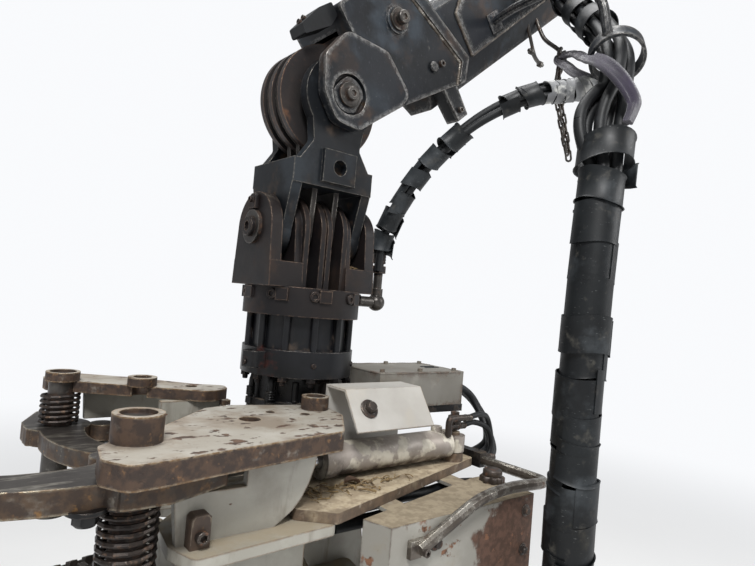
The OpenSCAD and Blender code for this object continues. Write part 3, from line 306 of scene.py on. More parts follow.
class Finish:
    """A procedural material: a two-colour base coat and layers over it, each where its mask says."""

    def __init__(self, name, colours, scale, rough, metal=0.0, rim=7, wide=22, shine=0.5):
        self.material = bpy.data.materials.new(name)
        self.material.use_nodes = True
        self.tree = self.material.node_tree
        self.tree.nodes.clear()
        self.shader = self.node("ShaderNodeBsdfPrincipled", {"Specular IOR Level": shine})
        self.out = self.node("ShaderNodeOutputMaterial", {"Surface": self.shader.outputs[0]})
        coords = self.node("ShaderNodeTexCoord")
        self.place = coords.outputs["Object"]
        split = self.node("ShaderNodeSeparateXYZ", {0: coords.outputs["Normal"]})
        self.masks = {"top": self.ramp(split.outputs["Z"], TOP_FROM, TOP_TO)}
        self.edge_width = {"rim": rim, "wide": wide}
        shade = self.ramp(self.noise(scale, 5), 0.35, 0.65)
        self.colour = self.mix(shade, *(rgb(c) for c in colours.split()))
        self.rough = self.lerp(self.noise(scale * 9, 3), rough - 0.08, rough + 0.08)
        self.metal = metal
        self.height = self.times(self.noise(scale * 55, 3), 0.25)

    def node(self, kind, inputs=None, **settings):
        return add_node(self.tree, kind, inputs, **settings)

    def value(self, kind, inputs, output=0, **settings):
        return self.node(kind, inputs, **settings).outputs[output]

    def math(self, operation, a, b):
        return self.value("ShaderNodeMath", {0: a, 1: b}, operation=operation)

    def times(self, a, b):
        return self.math("MULTIPLY", a, b)

    def rest(self, a):
        return self.math("SUBTRACT", 1.0, a)

    def noise(self, scale, detail, stretch=None, seed=0.0):
        place = self.place
        if stretch or seed:
            place = self.value("ShaderNodeMapping", {
                "Vector": place, "Scale": stretch or (1, 1, 1), "Location": (seed, seed * 0.7, -seed)
            })
        return self.value("ShaderNodeTexNoise", {
            "Vector": place, "Scale": scale, "Detail": detail, "Roughness": 0.6
        })

    def ramp(self, value, low, high):
        return self.value("ShaderNodeMapRange", {
            "Value": value, "From Min": low, "From Max": high
        }, interpolation_type="SMOOTHSTEP")

    def lerp(self, factor, a, b):
        return self.value("ShaderNodeMix", {0: factor, 2: a, 3: b})

    def mix(self, factor, a, b):
        return self.value("ShaderNodeMix", {0: factor, 6: a, 7: b}, 2, data_type="RGBA")

    def bevel(self, radius):
        """The surface's direction, rounded at its edges by a radius in mm."""
        return self.value("ShaderNodeBevel", {"Radius": radius / 1000}, samples=SAMPLES)

    def distance(self, point):
        return self.value("ShaderNodeVectorMath", {0: self.place, 1: point}, "Value",
                          operation="DISTANCE")

    def mask(self, name):
        """Worn edges (rim, wide), hollows (cavity), faces that look up (top) or don't (side)."""
        if name not in self.masks:
            self.masks[name] = self.new_mask(name)
        return self.masks[name]

    def new_mask(self, name):
        if name == "side":
            return self.rest(self.mask("top"))
        if name == "cavity":
            near = self.value("ShaderNodeAmbientOcclusion", {"Distance": CAVITY_REACH}, "AO",
                              samples=SAMPLES)
            return self.rest(self.ramp(near, 0.35, 0.95))
        bevel = self.bevel(self.edge_width[name])
        face = self.value("ShaderNodeNewGeometry", {}, "Normal")
        dot = self.value("ShaderNodeVectorMath", {0: bevel, 1: face}, "Value", operation="DOT_PRODUCT")
        return self.times(self.ramp(self.rest(dot), 0.0, 0.2), self.rest(self.mask("cavity")))

    def spot(self, point, radius, ragged):
        """1 near a point, 0 beyond a radius in mm, with a ragged outline."""
        shift = self.times(self.math("SUBTRACT", self.noise(14, 6), 0.5), ragged * radius / 500)
        away = self.math("ADD", self.distance(tuple(home(point))), shift)
        return self.ramp(away, radius / 1000, radius / 1250)

    def layer(self, colours, scale, low, high, rough=None, metal=None, height=0.0, detail=6,
              stretch=None, seed=3.1, share=1.0, where=None, **gains):
        """Paints over what is there where noise plus the named masks passes low to high."""
        value = self.noise(scale, detail, stretch, seed)
        for name, gain in gains.items():
            value = self.math("ADD", value, self.times(self.mask(name), gain))
        mask = self.ramp(value, low, high)
        if where is not None:
            mask = self.times(mask, where)
        if share < 1:
            mask = self.times(mask, share)
        top, *second = (rgb(c) for c in colours.split())
        if second:
            top = self.mix(self.ramp(self.noise(scale * 2.3, 4, seed=seed + 5), 0.4, 0.6), top, *second)
        self.colour = self.mix(mask, self.colour, top)
        if rough is not None:
            self.rough = self.lerp(mask, self.rough, rough)
        if metal is not None:
            self.metal = self.lerp(mask, self.metal, metal)
        if height:
            self.height = self.math("ADD", self.height, self.times(mask, height))

    def done(self, bump, round_edges):
        """Joins the layers to the shader. bump is the relief in mm for a height of 1."""
        relief = {"Height": self.height, "Distance": bump / 1000, "Strength": 1.0}
        if round_edges:
            relief["Normal"] = self.bevel(round_edges)
        for name, value in (("Base Color", self.colour), ("Roughness", self.rough),
                            ("Metallic", self.metal), ("Normal", self.value("ShaderNodeBump", relief))):
            put(self.tree, self.shader.inputs[name], value)
        return self.material


FINISHES = {}


def finish(*coat, bump=0.8, round_edges=2.5, nodes="", pairs="", **settings):
    """Makes the material that a function paints, for CAD nodes and for near and far pairs of them."""
    wearers = nodes.split() + [f"{side}_{pair}" for pair in pairs.split() for side in ("near", "far")]

    def paint(layers):
        coated = Finish(layers.__name__, *coat, **settings)
        layers(coated)
        material = coated.done(bump, round_edges)
        FINISHES[layers.__name__] = material
        for node in wearers:
            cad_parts[node].data.materials.clear()
            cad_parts[node].data.materials.append(material)
        return layers
    return paint


# A coat gives its colours, the noise's scale, roughness and metal; rim and wide are worn edges in mm
# A layer gives its colours, the noise's scale, low and high, and roughness
@finish("0e1013 181b20", 3.5, 0.46, rim=5, wide=26, shine=0.25, nodes="boom_tube tip_fork hose_hook")
def dark_paint(f):
    f.layer("31383f 22282e", 5, 0.5, 0.64, 0.5, share=0.8, detail=9)
    f.layer("474c50", 34, 0.62, 0.7, 0.42, stretch=(9, 0.6, 2.5), share=0.5)
    f.layer("43362e 2a2421", 8, 0.54, 0.68, 0.6, share=0.8, detail=9, seed=9.2)
    f.layer("77736f 55524f", 26, 0.64, 0.78, 0.42, metal=0.3, share=0.55, detail=12, seed=6.3)
    f.layer("8b8a88 4e4c4a", 52, 0.76, 0.86, 0.4, metal=0.6, height=-0.5, detail=9, wide=0.44)
    f.layer("b0aca6 6f6b67", 90, 0.84, 0.98, 0.34, metal=0.7, height=-0.4, detail=9, rim=0.6)
    f.layer("7d7b78", 70, 0.7, 0.74, 0.4, stretch=(0.7, 1, 5), metal=0.5, share=0.7)
    f.layer("40301f 2c211c", 18, 0.76, 0.86, 0.8, height=0.3, cavity=0.22)
    f.layer("6d665b", 9, 0.74, 1.0, 0.85, top=0.22, share=0.5)


@finish("0d0f12 15181c", 4, 0.44, rim=5, shine=0.25, nodes="link_body")
def link_paint(f):
    f.layer("282d32", 7, 0.5, 0.66, 0.48, share=0.8, detail=9)
    f.layer("43382f 2a2420", 9, 0.54, 0.7, 0.6, share=0.8, detail=9)
    f.layer("6c6761 4a4743", 30, 0.66, 0.8, 0.42, metal=0.3, share=0.5, detail=12, seed=6.3)
    f.layer("8a857c 4c4a47", 60, 0.8, 0.93, 0.42, metal=0.5, height=-0.4, detail=9, rim=0.52)
    f.layer("6a6660", 80, 0.69, 0.73, 0.4, stretch=(1, 1, 6), metal=0.4, share=0.6)
    f.layer("52402f 33271f", 22, 0.72, 0.88, 0.75, cavity=0.2, share=0.7)
    f.layer("5b5347", 12, 0.74, 1.0, 0.9, top=0.24, share=0.5)


@finish("2f2b2b 3d3633", 8, 0.45, 0.4, rim=5, nodes="boom_brake_plates")
def brake_steel(f):
    f.layer("6a4a35 4b3428", 24, 0.55, 0.75, 0.65, metal=0.3, rim=0.35)
    f.layer("a58d78 7a604c", 120, 0.9, 1.05, 0.35, metal=0.8, rim=0.5)
    f.layer("191818", 10, 0.5, 0.8, 0.6, cavity=0.4, share=0.8)


@finish("4a4642 2e2b2a", 10, 0.36, 0.75, nodes="link_brake_plates")
def comb_steel(f):
    f.layer("b4afa7 8a857e", 30, 0.62, 0.82, 0.26, metal=0.95, rim=0.45, stretch=(1, 1, 0.4))
    f.layer("211d1b", 14, 0.5, 0.85, 0.7, metal=0.2, cavity=0.45)


@finish("110f11 1e1918", 5, 0.46, 0.1, rim=6, shine=0.3, nodes="rotator_yoke")
def yoke_iron(f):
    f.layer("33261f 261d18", 9, 0.5, 0.7, 0.6, share=0.8)
    f.layer("5d4a3e 7b6a5c", 48, 0.82, 0.94, 0.42, metal=0.5, height=-0.4, rim=0.46)
    f.layer("75675a", 60, 0.69, 0.74, 0.5, stretch=(1, 1, 8), share=0.4)
    f.layer("5e564b", 15, 0.72, 0.98, 0.9, top=0.26, share=0.6)


@finish("0a0b0d 141519", 7, 0.36, 0.1, rim=4, shine=0.35, nodes="rotator_drum")
def drum_iron(f):
    f.layer("2c2a2b", 16, 0.55, 0.75, 0.5, stretch=(1, 1, 0.25), share=0.7)
    f.layer("9b9691 6a625c", 70, 0.95, 1.08, 0.3, metal=0.8, rim=0.58)
    f.layer("4d2118 2c1712", 20, 0.46, 0.66, 0.7, where=f.spot((-118, -70, -318), 48, 1.3),
            share=0.85)
    f.layer("4a4038", 26, 0.72, 0.84, 0.8, height=0.3, cavity=0.2)


@finish("0a0a0b 151416", 9, 0.3, 0.1, rim=6, shine=0.35, bump=1.4,
        nodes="rotor hanger tilt_barrel saw_motor hose_manifold")
def greasy_iron(f):
    f.layer("2f2a26 3d342c", 13, 0.5, 0.66, 0.75, height=0.8)
    f.layer("4c4338", 18, 0.66, 0.86, 0.9, top=0.2, height=0.4)
    f.layer("514a44", 60, 0.9, 1.0, 0.4, metal=0.5, rim=0.45)


@finish("a5a198 928c81", 6, 0.5, rim=9, wide=30, bump=0.9, pairs="deck")
def deck_paint(f):
    f.layer("7a6e60 8a8072", 6, 0.46, 0.6, 0.6, share=0.85, detail=9)
    f.layer("6d6256", 16, 0.56, 0.7, 0.7, share=0.55, detail=9, seed=2.2,
            stretch=(0.5, 1.4, 1))
    f.layer("5b4638 3d2f27", 24, 0.585, 0.615, 0.7, height=-0.8, detail=8, seed=8.4,
            stretch=(1.0, 1.6, 1.0), wide=0.05)
    f.layer("6d5a48", 90, 0.66, 0.7, 0.7, height=-0.4)
    f.layer("4b3a2e 362b25", 20, 0.2, 0.4, 0.62, metal=0.2, height=-0.5, where=f.mask("side"))
    f.layer("7d5c3c 5a4634", 55, 0.6, 0.68, 0.55, metal=0.2, where=f.mask("side"), share=0.8)
    f.layer("8b6f4e b2a188", 50, 0.82, 0.92, 0.45, metal=0.5, rim=0.48)
    f.layer("3a2f28", 30, 0.7, 0.85, 0.8, cavity=0.3)


@finish("a3a097 939086", 5, 0.5, nodes="main_frame saw_box", pairs="side arm")
def web_paint(f):
    f.layer("b0aea4", 9, 0.55, 0.75, share=0.6)
    f.layer("8a8478 79736a", 5, 0.5, 0.7, 0.65, share=0.6, detail=9)
    f.layer("655c50", 20, 0.54, 0.7, 0.7, stretch=(1, 1, 0.25), share=0.6, detail=9, seed=7.7)
    f.layer("7d7a72", 16, 0.6, 0.9, 0.7, cavity=0.35, share=0.8)
    f.layer("6f4330 4c3024", 38, 0.7, 0.725, 0.8, height=-0.6, detail=3)
    f.layer("8a5a3d", 11, 0.7, 0.86, 0.75, share=0.6)
    f.layer("5b4636 7a5f45", 34, 0.78, 0.9, 0.6, metal=0.3, height=-0.4, rim=0.5)
    f.layer("8f8168", 12, 0.6, 0.95, 0.95, top=0.35, share=0.7)


@finish("4a4642 393532", 7, 0.42, 0.65, rim=9, bump=0.7, pairs="knife rear_knife")
def knife_steel(f):
    f.layer("8c877e 6c675f", 26, 0.58, 0.66, 0.34, metal=0.8, stretch=(0.35, 2.2, 1),
            top=0.05)
    f.layer("a39d92", 110, 0.64, 0.7, 0.3, stretch=(0.2, 2.5, 1), metal=0.9, share=0.7)
    f.layer("3a2e26 4e3d2e", 18, 0.3, 0.55, 0.6, metal=0.3, where=f.mask("side"))
    f.layer("7c5d39 5d4630", 44, 0.6, 0.68, 0.5, metal=0.4, where=f.mask("side"), share=0.85)
    f.layer("948069 b0a894", 60, 0.86, 0.98, 0.35, metal=0.8, rim=0.5)


@finish("3d3733 2c2826", 9, 0.5, 0.5, rim=6, pairs="roller")
def roller_steel(f):
    f.layer("5f4431 402f25", 22, 0.52, 0.7, 0.75, metal=0.2, height=0.3)
    f.layer("9b958b 7b756c", 40, 0.78, 0.92, 0.32, metal=0.9, rim=0.5)
    f.layer("2a241f", 12, 0.5, 0.85, 0.9, cavity=0.5, height=0.4)


@finish("3f3732 2b2624", 20, 0.42, 0.6, bump=0.5, round_edges=0, pairs="spring")
def spring_steel(f):
    # The lighter brown patches are painted highlights on the coils
    f.layer("6f5a49 4d3a2e", 70, 0.52, 0.66, 0.6, metal=0.4)
    f.layer("8e8378", 160, 0.62, 0.75, 0.35, metal=0.8, share=0.6)


@finish("55524e 3c3937", 14, 0.36, 0.75, rim=4, bump=0.5,
        nodes="boom_pins lower_pin tilt_pin knife_pins rotator_port")
def pin_steel(f):
    f.layer("8e8a83", 60, 0.6, 0.8, 0.28, metal=0.9, rim=0.3)
    f.layer("4b3629 2e2521", 40, 0.58, 0.76, 0.7, metal=0.2, cavity=0.3)


@finish("6d665e 57504a", 12, 0.36, 0.75, bump=0.6, nodes="guard_pipe")
def rubbed_pipe(f):
    f.layer("b1aca3 938d83", 34, 0.5, 0.64, 0.26, metal=0.9, top=0.12)
    f.layer("4c3527 654a37", 30, 0.66, 0.76, 0.75, metal=0.1, cavity=0.15)


@finish("d9d9da c3c4c6", 30, 0.14, 1.0, bump=0.2, round_edges=1.5,
        nodes="tilt_rod", pairs="knife_rod arm_rod")
def rod_chrome(f):
    f.layer("8d8a85", 240, 0.68, 0.74, 0.3, stretch=(1, 8, 8), share=0.5)
    f.layer("6b5a44 2a2623", 22, 0.7, 0.82, 0.6, metal=0.4)


@finish("a39b94 8f867d", 9, 0.42, 0.25, bump=0.5, pairs="knife_barrel arm_barrel")
def barrel_paint(f):
    f.layer("c9c3b5 b9b2a3", 17, 0.5, 0.56, 0.55, metal=0.0, height=0.5, detail=8)
    f.layer("4c4039 6d5c4e", 60, 0.66, 0.74, 0.6, metal=0.3, stretch=(3, 3, 0.5))
    f.layer("3a302a", 20, 0.62, 0.9, 0.8, cavity=0.35)


@finish("afaca6 a09c95", 5, 0.5, rim=5, bump=0.6, nodes="cylinder_cover")
def cover_paint(f):
    f.layer("aea594", 10, 0.55, 0.85, 0.6, share=0.6)
    f.layer("8a6448 6b4a37", 42, 0.72, 0.77, 0.75, detail=7)
    f.layer("74583f", 30, 0.64, 0.8, 0.8, where=f.spot((66, -424, -512), 26, 1.0))
    f.layer("6b5748 a08d75", 50, 0.84, 0.95, 0.6, metal=0.3, rim=0.5)


@finish("95866f 81735f", 9, 0.85, bump=1.2, pairs="shelf")
def shelf_dust(f):
    f.layer("a5967d b0a28a", 30, 0.52, 0.68, 0.95, height=0.4, top=0.1)
    f.layer("7b6a55", 70, 0.58, 0.68, 0.95, height=0.3)
    f.layer("6a5847 57493c", 14, 0.3, 0.5, 0.7, where=f.mask("side"))
    f.layer("8d8274 a39886", 40, 0.56, 0.7, 0.6, where=f.mask("side"), share=0.7)
    f.layer("4f3f33", 44, 0.8, 0.95, 0.6, metal=0.2, rim=0.4)


@finish("74716a 66625a", 6, 0.6, wide=26, nodes="hose_box")
def box_paint(f):
    f.layer("8d8a82", 13, 0.56, 0.75, 0.65, share=0.7)
    f.layer("5f5446 6e6353", 15, 0.58, 0.8, 0.8, share=0.7, cavity=0.2)
    f.layer("553d2d 3a2b22", 34, 0.74, 0.84, 0.8, height=-0.4, wide=0.32)
    f.layer("8a8072", 60, 0.68, 0.74, 0.8, top=0.05)


@finish("9c9a92 8a877f", 6, 0.58, rim=8, wide=24, bump=0.9, pairs="cover")
def rusty_cover(f):
    f.layer("8b8476", 11, 0.54, 0.8, 0.7, share=0.8)
    f.layer("5c4336 483429", 26, 0.1, 0.3, 0.72, height=-0.6,
            where=f.spot((372, -450, -700), 150, 0.9))
    f.layer("7b563f 4e382c", 30, 0.62, 0.68, 0.75, height=-0.5, detail=8, wide=0.06)
    f.layer("8e826d 7b6f5c", 16, 0.35, 0.7, 0.95, top=0.3, where=f.mask("top"), height=0.3)
    f.layer("4b3a2e", 40, 0.8, 0.92, 0.6, metal=0.2, rim=0.42)


@finish("0d0e10 151719", 10, 0.5, shine=0.3, bump=0.5, round_edges=0,
        nodes="stop_pad main_hose rotator_hose head_hoses")
def black_rubber(f):
    f.layer("24272b", 22, 0.56, 0.76, 0.6, share=0.6)
    f.layer("4b463e", 50, 0.68, 0.8, 0.85, share=0.5)


@finish("0d0f11 16191b", 8, 0.46, shine=0.3, bump=0.5, round_edges=0)
def wrap_plastic(f):
    # The broad bluish grey patches are a painted sheen on the dark wraps
    f.layer("3c4043 2a2e31", 7, 0.48, 0.64, 0.55, share=0.8, detail=9)
    f.layer("57544d 45433e", 26, 0.56, 0.72, 0.75, share=0.5, detail=12, seed=4.4)
    f.layer("7a7c7b", 60, 0.66, 0.71, 0.5, stretch=(1, 1, 6), share=0.6)
    f.layer("6d6656", 11, 0.62, 0.86, 0.85, share=0.35)
    f.layer("8d8c88 55554f", 150, 0.72, 0.8, 0.5, share=0.6, detail=8)


@finish("6f7072 8b8c8c", 14, 0.5, bump=0.5, round_edges=0)
def worn_wrap(f):
    f.layer("c3c3be a9a9a5", 28, 0.52, 0.66, 0.6)
    f.layer("3d3f42", 40, 0.6, 0.7, 0.55)


@finish("2b2436 211c2a", 16, 0.9, round_edges=0)
def textile(f):
    f.layer("43384f", 60, 0.55, 0.75, share=0.6)
    f.layer("2a2630", 24, 0.6, 0.8)
    weave = f.value("ShaderNodeTexWave", {"Vector": f.place, "Scale": 260.0, "Distortion": 1.5}, 1)
    f.height = f.math("ADD", f.height, f.times(weave, 0.6))
    f.shader.inputs["Sheen Weight"].default_value = 0.4


@finish("4a423c 322c29", 18, 0.45, 0.5, rim=3, bump=0.5, round_edges=0.8)
def worn_bolt(f):
    f.layer("6a4a36 4a3428", 60, 0.52, 0.68, 0.75, metal=0.1)
    f.layer("9a938a", 90, 0.8, 0.95, 0.32, metal=0.9, rim=0.45)


@finish("54453a 3f342d", 14, 0.55, 0.2, rim=5)
def deck_edge(f):
    f.layer("7d6247 5e4936", 40, 0.56, 0.7, 0.6, metal=0.2)
    f.layer("a89b88", 60, 0.8, 0.92, 0.45, metal=0.5, rim=0.45)


@finish("8f7a55 5d4a34", 60, 0.85, bump=0.3, round_edges=0)
def dry_grass(f):
    f.layer("b59f74", 120, 0.55, 0.7)


@finish("4b3524 3a291b", 40, 0.8, bump=0.3, round_edges=0)
def leaf_brown(f):
    f.layer("6b4d33", 160, 0.55, 0.7)


@finish("7b7976 605d5a", 9, 0.34, 0.9, bump=0.4, nodes="saw_bar")
def saw_steel(f):
    f.layer("9d9a95", 50, 0.56, 0.66, 0.28, stretch=(1, 0.15, 1))
    f.layer("5a3f2d", 26, 0.66, 0.78, 0.7, metal=0.2)


# Cords. Their routes are the construction's own points.
MAIN_ROUTE = [
    (983, -150, 1120), (907, -150, 1054), (832, -150, 988), (782, -205, 880), (732, -310, 765),
    (670, -415, 655), (590, -500, 540), (520, -540, 420), (470, -560, 280), (440, -570, 120),
    (425, -570, -60), (420, -568, -240), (420, -565, -420), (425, -560, -600), (440, -550, -780),
    (452, -525, -940), (446, -485, -1050), (405, -445, -1118), (335, -415, -1130),
    (255, -385, -1124), (205, -340, -1120), (193, -290, -1120), (193, -250, -1120),
    (193, -212.5, -1120),
]
ROTATOR_ROUTE = [
    (628, -432, 484), (555, -405, 460), (455, -330, 430), (370, -230, 360), (300, -140, 250),
    (262, -60, 130), (250, -10, 30), (250, 0, -30), (250, 0, -71.5),
]
# Across the frame: where the three head hoses leave the hose box, and where they end
HEAD_HOSE_FROM = (-110, -74, -38)
HEAD_HOSE_TO = (-228, -197, -166)
# Diameters in metres
MAIN_D = 0.03
ROTATOR_D = 0.023
HEAD_D = 0.024
CYLINDER_D = 0.016
STRAP_WIDE = 0.042
HANG_RING = (590, -500, 540)
SHACKLE = (858, -148, 730)
STRAP_FACES = unit((-0.8, -0.5, 0.35))
# Where the five loose hoses lie across the view and into it, half way down from the ring, in mm
FAN_ACROSS = (-74, -50, -26, -2, 22)
FAN_DEEP = (10, -16, 14, -14, 12)
# In metres: how far from the bundle's middle a hose lies, and how much of its end has no wrap
LAY_RADIUS = 0.028
BARE_END = 0.09
# Along the bundle in metres: how far under the ring the hoses part, and a centreline's steps
LOOSE_AFTER_RING = 0.15
HOSE_STEP = 0.012
# A wrap's turns and the steps in it, and the angle in degrees from which a soft piece's edges show
LAP = 1.06
WRAP_STEPS = 30
CORD_SHARP = 50

rng = random.Random(7)


def wrap_turn(shape, route, middle, width, radius, start, lean=0.3, flare=2.0, tail=0.0, kind=0,
              shift=(0, 0)):
    """One turn of a flat plastic wrap: a band that leans and laps, its last end sprung out by tail."""
    rings = []
    for share in np.linspace(0, 1, WRAP_STEPS + 1):
        a = start + share * 2 * math.pi * LAP
        along = (share - 0.5) * lean * width / 1000 + 0.004 * math.sin(a * 2 + start)
        lift = radius + 2.2 * share + 0.9 * math.sin(3 * a + start * 5)
        lift += tail * max(0, share * 6 - 5) ** 2
        rows = [(-0.5, lift + flare * 0.6), (-0.42, lift), (0.42, lift), (0.5, lift + flare)]
        rows += [(c, r - 3.0) for c, r in rows[::-1]]
        ring = []
        for across, r in rows:
            s = middle + along + across * width / 1000
            p, _, u, v = route.at(min(max(s, 0), route.length()))
            moved = u * (r * math.cos(a) + shift[0]) + v * (r * math.sin(a) + shift[1])
            ring.append(p + moved / 1000)
        rings.append(ring)
    shape.rings(rings, kind)


def hose(name, line, diameter, bodies, start=None, end=None, with_pieces=(), shape=None,
         material="black_rubber", stiffness="stiff"):
    """A hose or strap along its centreline, on one body or from one to the next."""
    if shape is None:
        shape = Shape()
        shape.tube(line, diameter * 500)
    obj = shape.make(name, [material], CORD_SHARP)
    if len(bodies) == 1:
        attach(obj, bodies[0])
    else:
        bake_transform(obj)
    return obj


def bundle(name, route, ends, bodies, hoses, diameter, wraps, finishes):
    """Hoses in stretches between bodies. ends are the points where one stretch turns to the next."""
    cuts = [0.0] + [route.nearest(home(p)) for p in ends[1:-1]] + [route.length()]
    for i, pair in enumerate(bodies):
        low, high = cuts[i], cuts[i + 1]
        start, end = (tuple(home(p)) for p in ends[i:i + 2])
        shape = Shape()
        for w in wraps:
            if low <= w["middle"] < high:
                wrap_turn(shape, route, **w)
        band = shape.make(f"{name}_wrap_{i}", finishes, CORD_SHARP)
        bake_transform(band)
        for k, place in enumerate(hoses):
            line = []
            for s in np.linspace(low, high, max(5, int((high - low) / HOSE_STEP))):
                p, *sides = route.at(s)
                line.append(p + place(s, *sides))
            made = hose(f"{name}_{k}_{i}", line, diameter, pair, start, end, [band] if k == 0 else ())
            if i == 0 and k == 0:
                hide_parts(name)


def main_bundle():
    route = Route(home_line(MAIN_ROUTE, 12))
    ends = [HANG_RING, (480, -556, 310), (435, -570, 60), (430, -557, -650), (452, -525, -900)]
    bodies = [("boom", "link"), ("link", "stator"), ("stator", "hanger"), ("hanger", "frame")]
    wrapped_from = route.nearest(home((455, -566, 205)))
    free_from = route.nearest(home(HANG_RING)) + LOOSE_AFTER_RING

    def round_lay(k, s, u, v):
        return turn(u, v, 2 * math.pi * k / 5 + 0.4 + 0.9 * s) * LAY_RADIUS

    def across(ahead):
        return unit(VIEW_RIGHT - ahead * (VIEW_RIGHT @ ahead))

    _, ahead, u, v = route.at(free_from)
    order = sorted(range(5), key=lambda k: round_lay(k, free_from, u, v) @ across(ahead))

    def place(k):
        rank = order.index(k)

        def offset(s, ahead, u, v):
            share = min(max((s - free_from) / (wrapped_from - free_from), 0), 1)
            loose = math.sin(math.pi * share) ** 0.9
            side = across(ahead)
            fan = side * FAN_ACROSS[rank] + np.cross(ahead, side) * FAN_DEEP[rank]
            return round_lay(k, s, u, v) * (1 - loose) + fan * loose / 1000
        return offset

    _, _, u, v = route.at(wrapped_from)
    to_right = math.atan2(VIEW_RIGHT @ v, VIEW_RIGHT @ u)
    # The topmost wrap stands open, with its end sprung out to the right
    wraps = [dict(middle=wrapped_from - 0.03, width=66, radius=64, start=to_right - 6.75, lean=0.75,
                  flare=4, tail=17)]
    s = wrapped_from + 0.03
    while s < route.length() - BARE_END:
        wide = rng.uniform(54, 92)
        wraps.append(dict(
            middle=s + wide / 2000, width=wide + 9, radius=rng.uniform(50, 58),
            start=rng.uniform(0, 6.28), lean=rng.uniform(-0.4, 0.4), flare=rng.choice((0.5, 2.0, 5.0)),
            shift=(rng.uniform(-5, 5), rng.uniform(-5, 5))))
        s += wide / 1000
    # Single wraps on the stretch along the boom
    for s in (0.20, 0.31, 0.47, 0.58):
        wraps.append(dict(middle=s, width=70, radius=51, start=rng.uniform(0, 6.28)))
    hoses = [place(k) for k in range(5)]
    bundle("main_hose", route, ends, bodies, hoses, MAIN_D, wraps, ["wrap_plastic"])


def rotator_bundle():
    route = Route(home_line(ROTATOR_ROUTE, 12))
    wraps = []
    # Narrow pale wraps next to the ring, then wide dark ones further and further apart
    s = 0.012
    while s < 0.17:
        wraps.append(dict(middle=s, width=22, radius=31 - 20 * s + rng.uniform(0, 1.5), flare=1.2,
                          start=rng.uniform(0, 6.28), lean=0.5, kind=1))
        s += 0.0235
    for s, width in ((0.20, 50), (0.26, 52), (0.44, 60), (0.515, 56), (0.58, 52), (0.66, 64),
                     (0.73, 60), (0.80, 58)):
        wraps.append(dict(middle=min(s, route.length() - 0.05), width=width,
                          radius=27 + rng.uniform(0, 2.5), start=rng.uniform(0, 6.28), lean=0.5,
                          flare=rng.uniform(1, 4), tail=6))

    def place(k):
        def offset(s, ahead, u, v):
            gap = 12.5 + 1.5 * math.sin(9 * s)
            return turn(u, v, math.pi * k + 0.5 + 1.2 * s) * gap / 1000
        return offset

    bundle("rotator_hose", route, [ROTATOR_ROUTE[0], ROTATOR_ROUTE[3], ROTATOR_ROUTE[6]],
           [("boom", "link"), ("link", "stator")], [place(0), place(1)], ROTATOR_D, wraps,
           ["wrap_plastic", "worn_wrap"])


def head_hoses():
    for i, (a, b) in enumerate(zip(HEAD_HOSE_FROM, HEAD_HOSE_TO)):
        points = [
            (488, a, -400), (520, a, -400), (560 + 24 * i, a - 14, -430),
            (572 + 36 * i, (a + b) / 2, -495), (562 + 24 * i, b + 14, -556), (532, b, -580),
            (506.5, b, -580),
        ]
        line = home_line(points, 10)
        ends = tuple(line[0]), tuple(line[-1])
        made = hose(f"head_hose_{i}", line, HEAD_D, ("hanger", "frame"), *ends)
        if i == 0:
            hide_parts("head_hoses")
    for i, lift in enumerate((0, 26)):
        y = -214 - 20 * i
        points = [(424, y, -484 + lift), (470, y, -478 + lift), (520, -222, -496 + lift),
                  (540, -226, -540), (528, -226, -575), (504.5, -226, -580 - 8 * i)]
        hose(f"cylinder_hose_{i}", home_line(points, 10), CYLINDER_D, ("frame",))
    # Two dark hoses under the shelf, which also fill the gap between shelf and cover with dark: partly
    # real hoses, partly painted shade
    for i, (y, z) in enumerate(((-258, -632), (-292, -650))):
        points = [(-40, y + 14, z - 6), (60, y, z), (160, y - 8, z + 8), (260, y, z),
                  (350, y + 6, z + 4), (432, y, z)]
        hose(f"shelf_hose_{i}", home_line(points, 8), MAIN_D, ("frame",))


def strap():
    """A bunched sling of dark cloth from the bundle through the shackle and round it."""
    bundled = Route(home_line(MAIN_ROUTE, 12))
    middle = bundled.nearest(home(HANG_RING))

    def beside(further, a, radius):
        """A point beside the bundle. The angle a turns from the camera's left to the front."""
        p, ahead, _, _ = bundled.at(middle + further)
        left = unit(ahead * (VIEW_RIGHT @ ahead) - VIEW_RIGHT)
        return p + turn(left, np.cross(left, ahead), a) * radius

    up = [(665, -335, 560), (765, -235, 640), (850, -146, 712), SHACKLE]
    down = [(752, -268, 668), (640, -372, 588)]
    points = [beside(0.02, -1.5, 0.075)] + [home(p) for p in up + down] + [beside(0.05, 0.1, 0.075)]
    points += [beside(0.09 + 0.035 * i, 0.45 + 0.37 * i, 0.074) for i in range(5)]
    points += [beside(0.255, 1.95, 0.074), beside(0.29, 1.85, 0.07)]
    route = Route(smooth(points, 9))
    rings = []
    for share, p, ahead in zip(np.linspace(0, 1, len(route.line)), route.line, route.t):
        out = unit(STRAP_FACES - ahead * (STRAP_FACES @ ahead))
        flat = np.cross(ahead, out)
        half = 14 + 7 * math.sin(math.pi * share) + 2 * math.sin(11 * share)
        ring = []
        for b in angles(28):
            fold = 1 + 0.28 * math.sin(4 * b + 7 * share) + 0.12 * math.sin(9 * b - 15 * share)
            ring.append(p + turn(flat * half, out * 9 * fold, b) / 1000)
        rings.append(ring)
    shape = Shape()
    shape.rings(rings)
    hose("strap", route.line, STRAP_WIDE, ("boom",), shape=shape, material="textile",
         stiffness="limp")


main_bundle()
rotator_bundle()
head_hoses()
strap()


# Small fittings, each seated on the construction by a ray or a named place
CRIMPS = [(r, h + 0.26 * i) for i in range(4) for r, h in ((0.6, 1.05), (0.6, 1.22), (0.55, 1.25))]
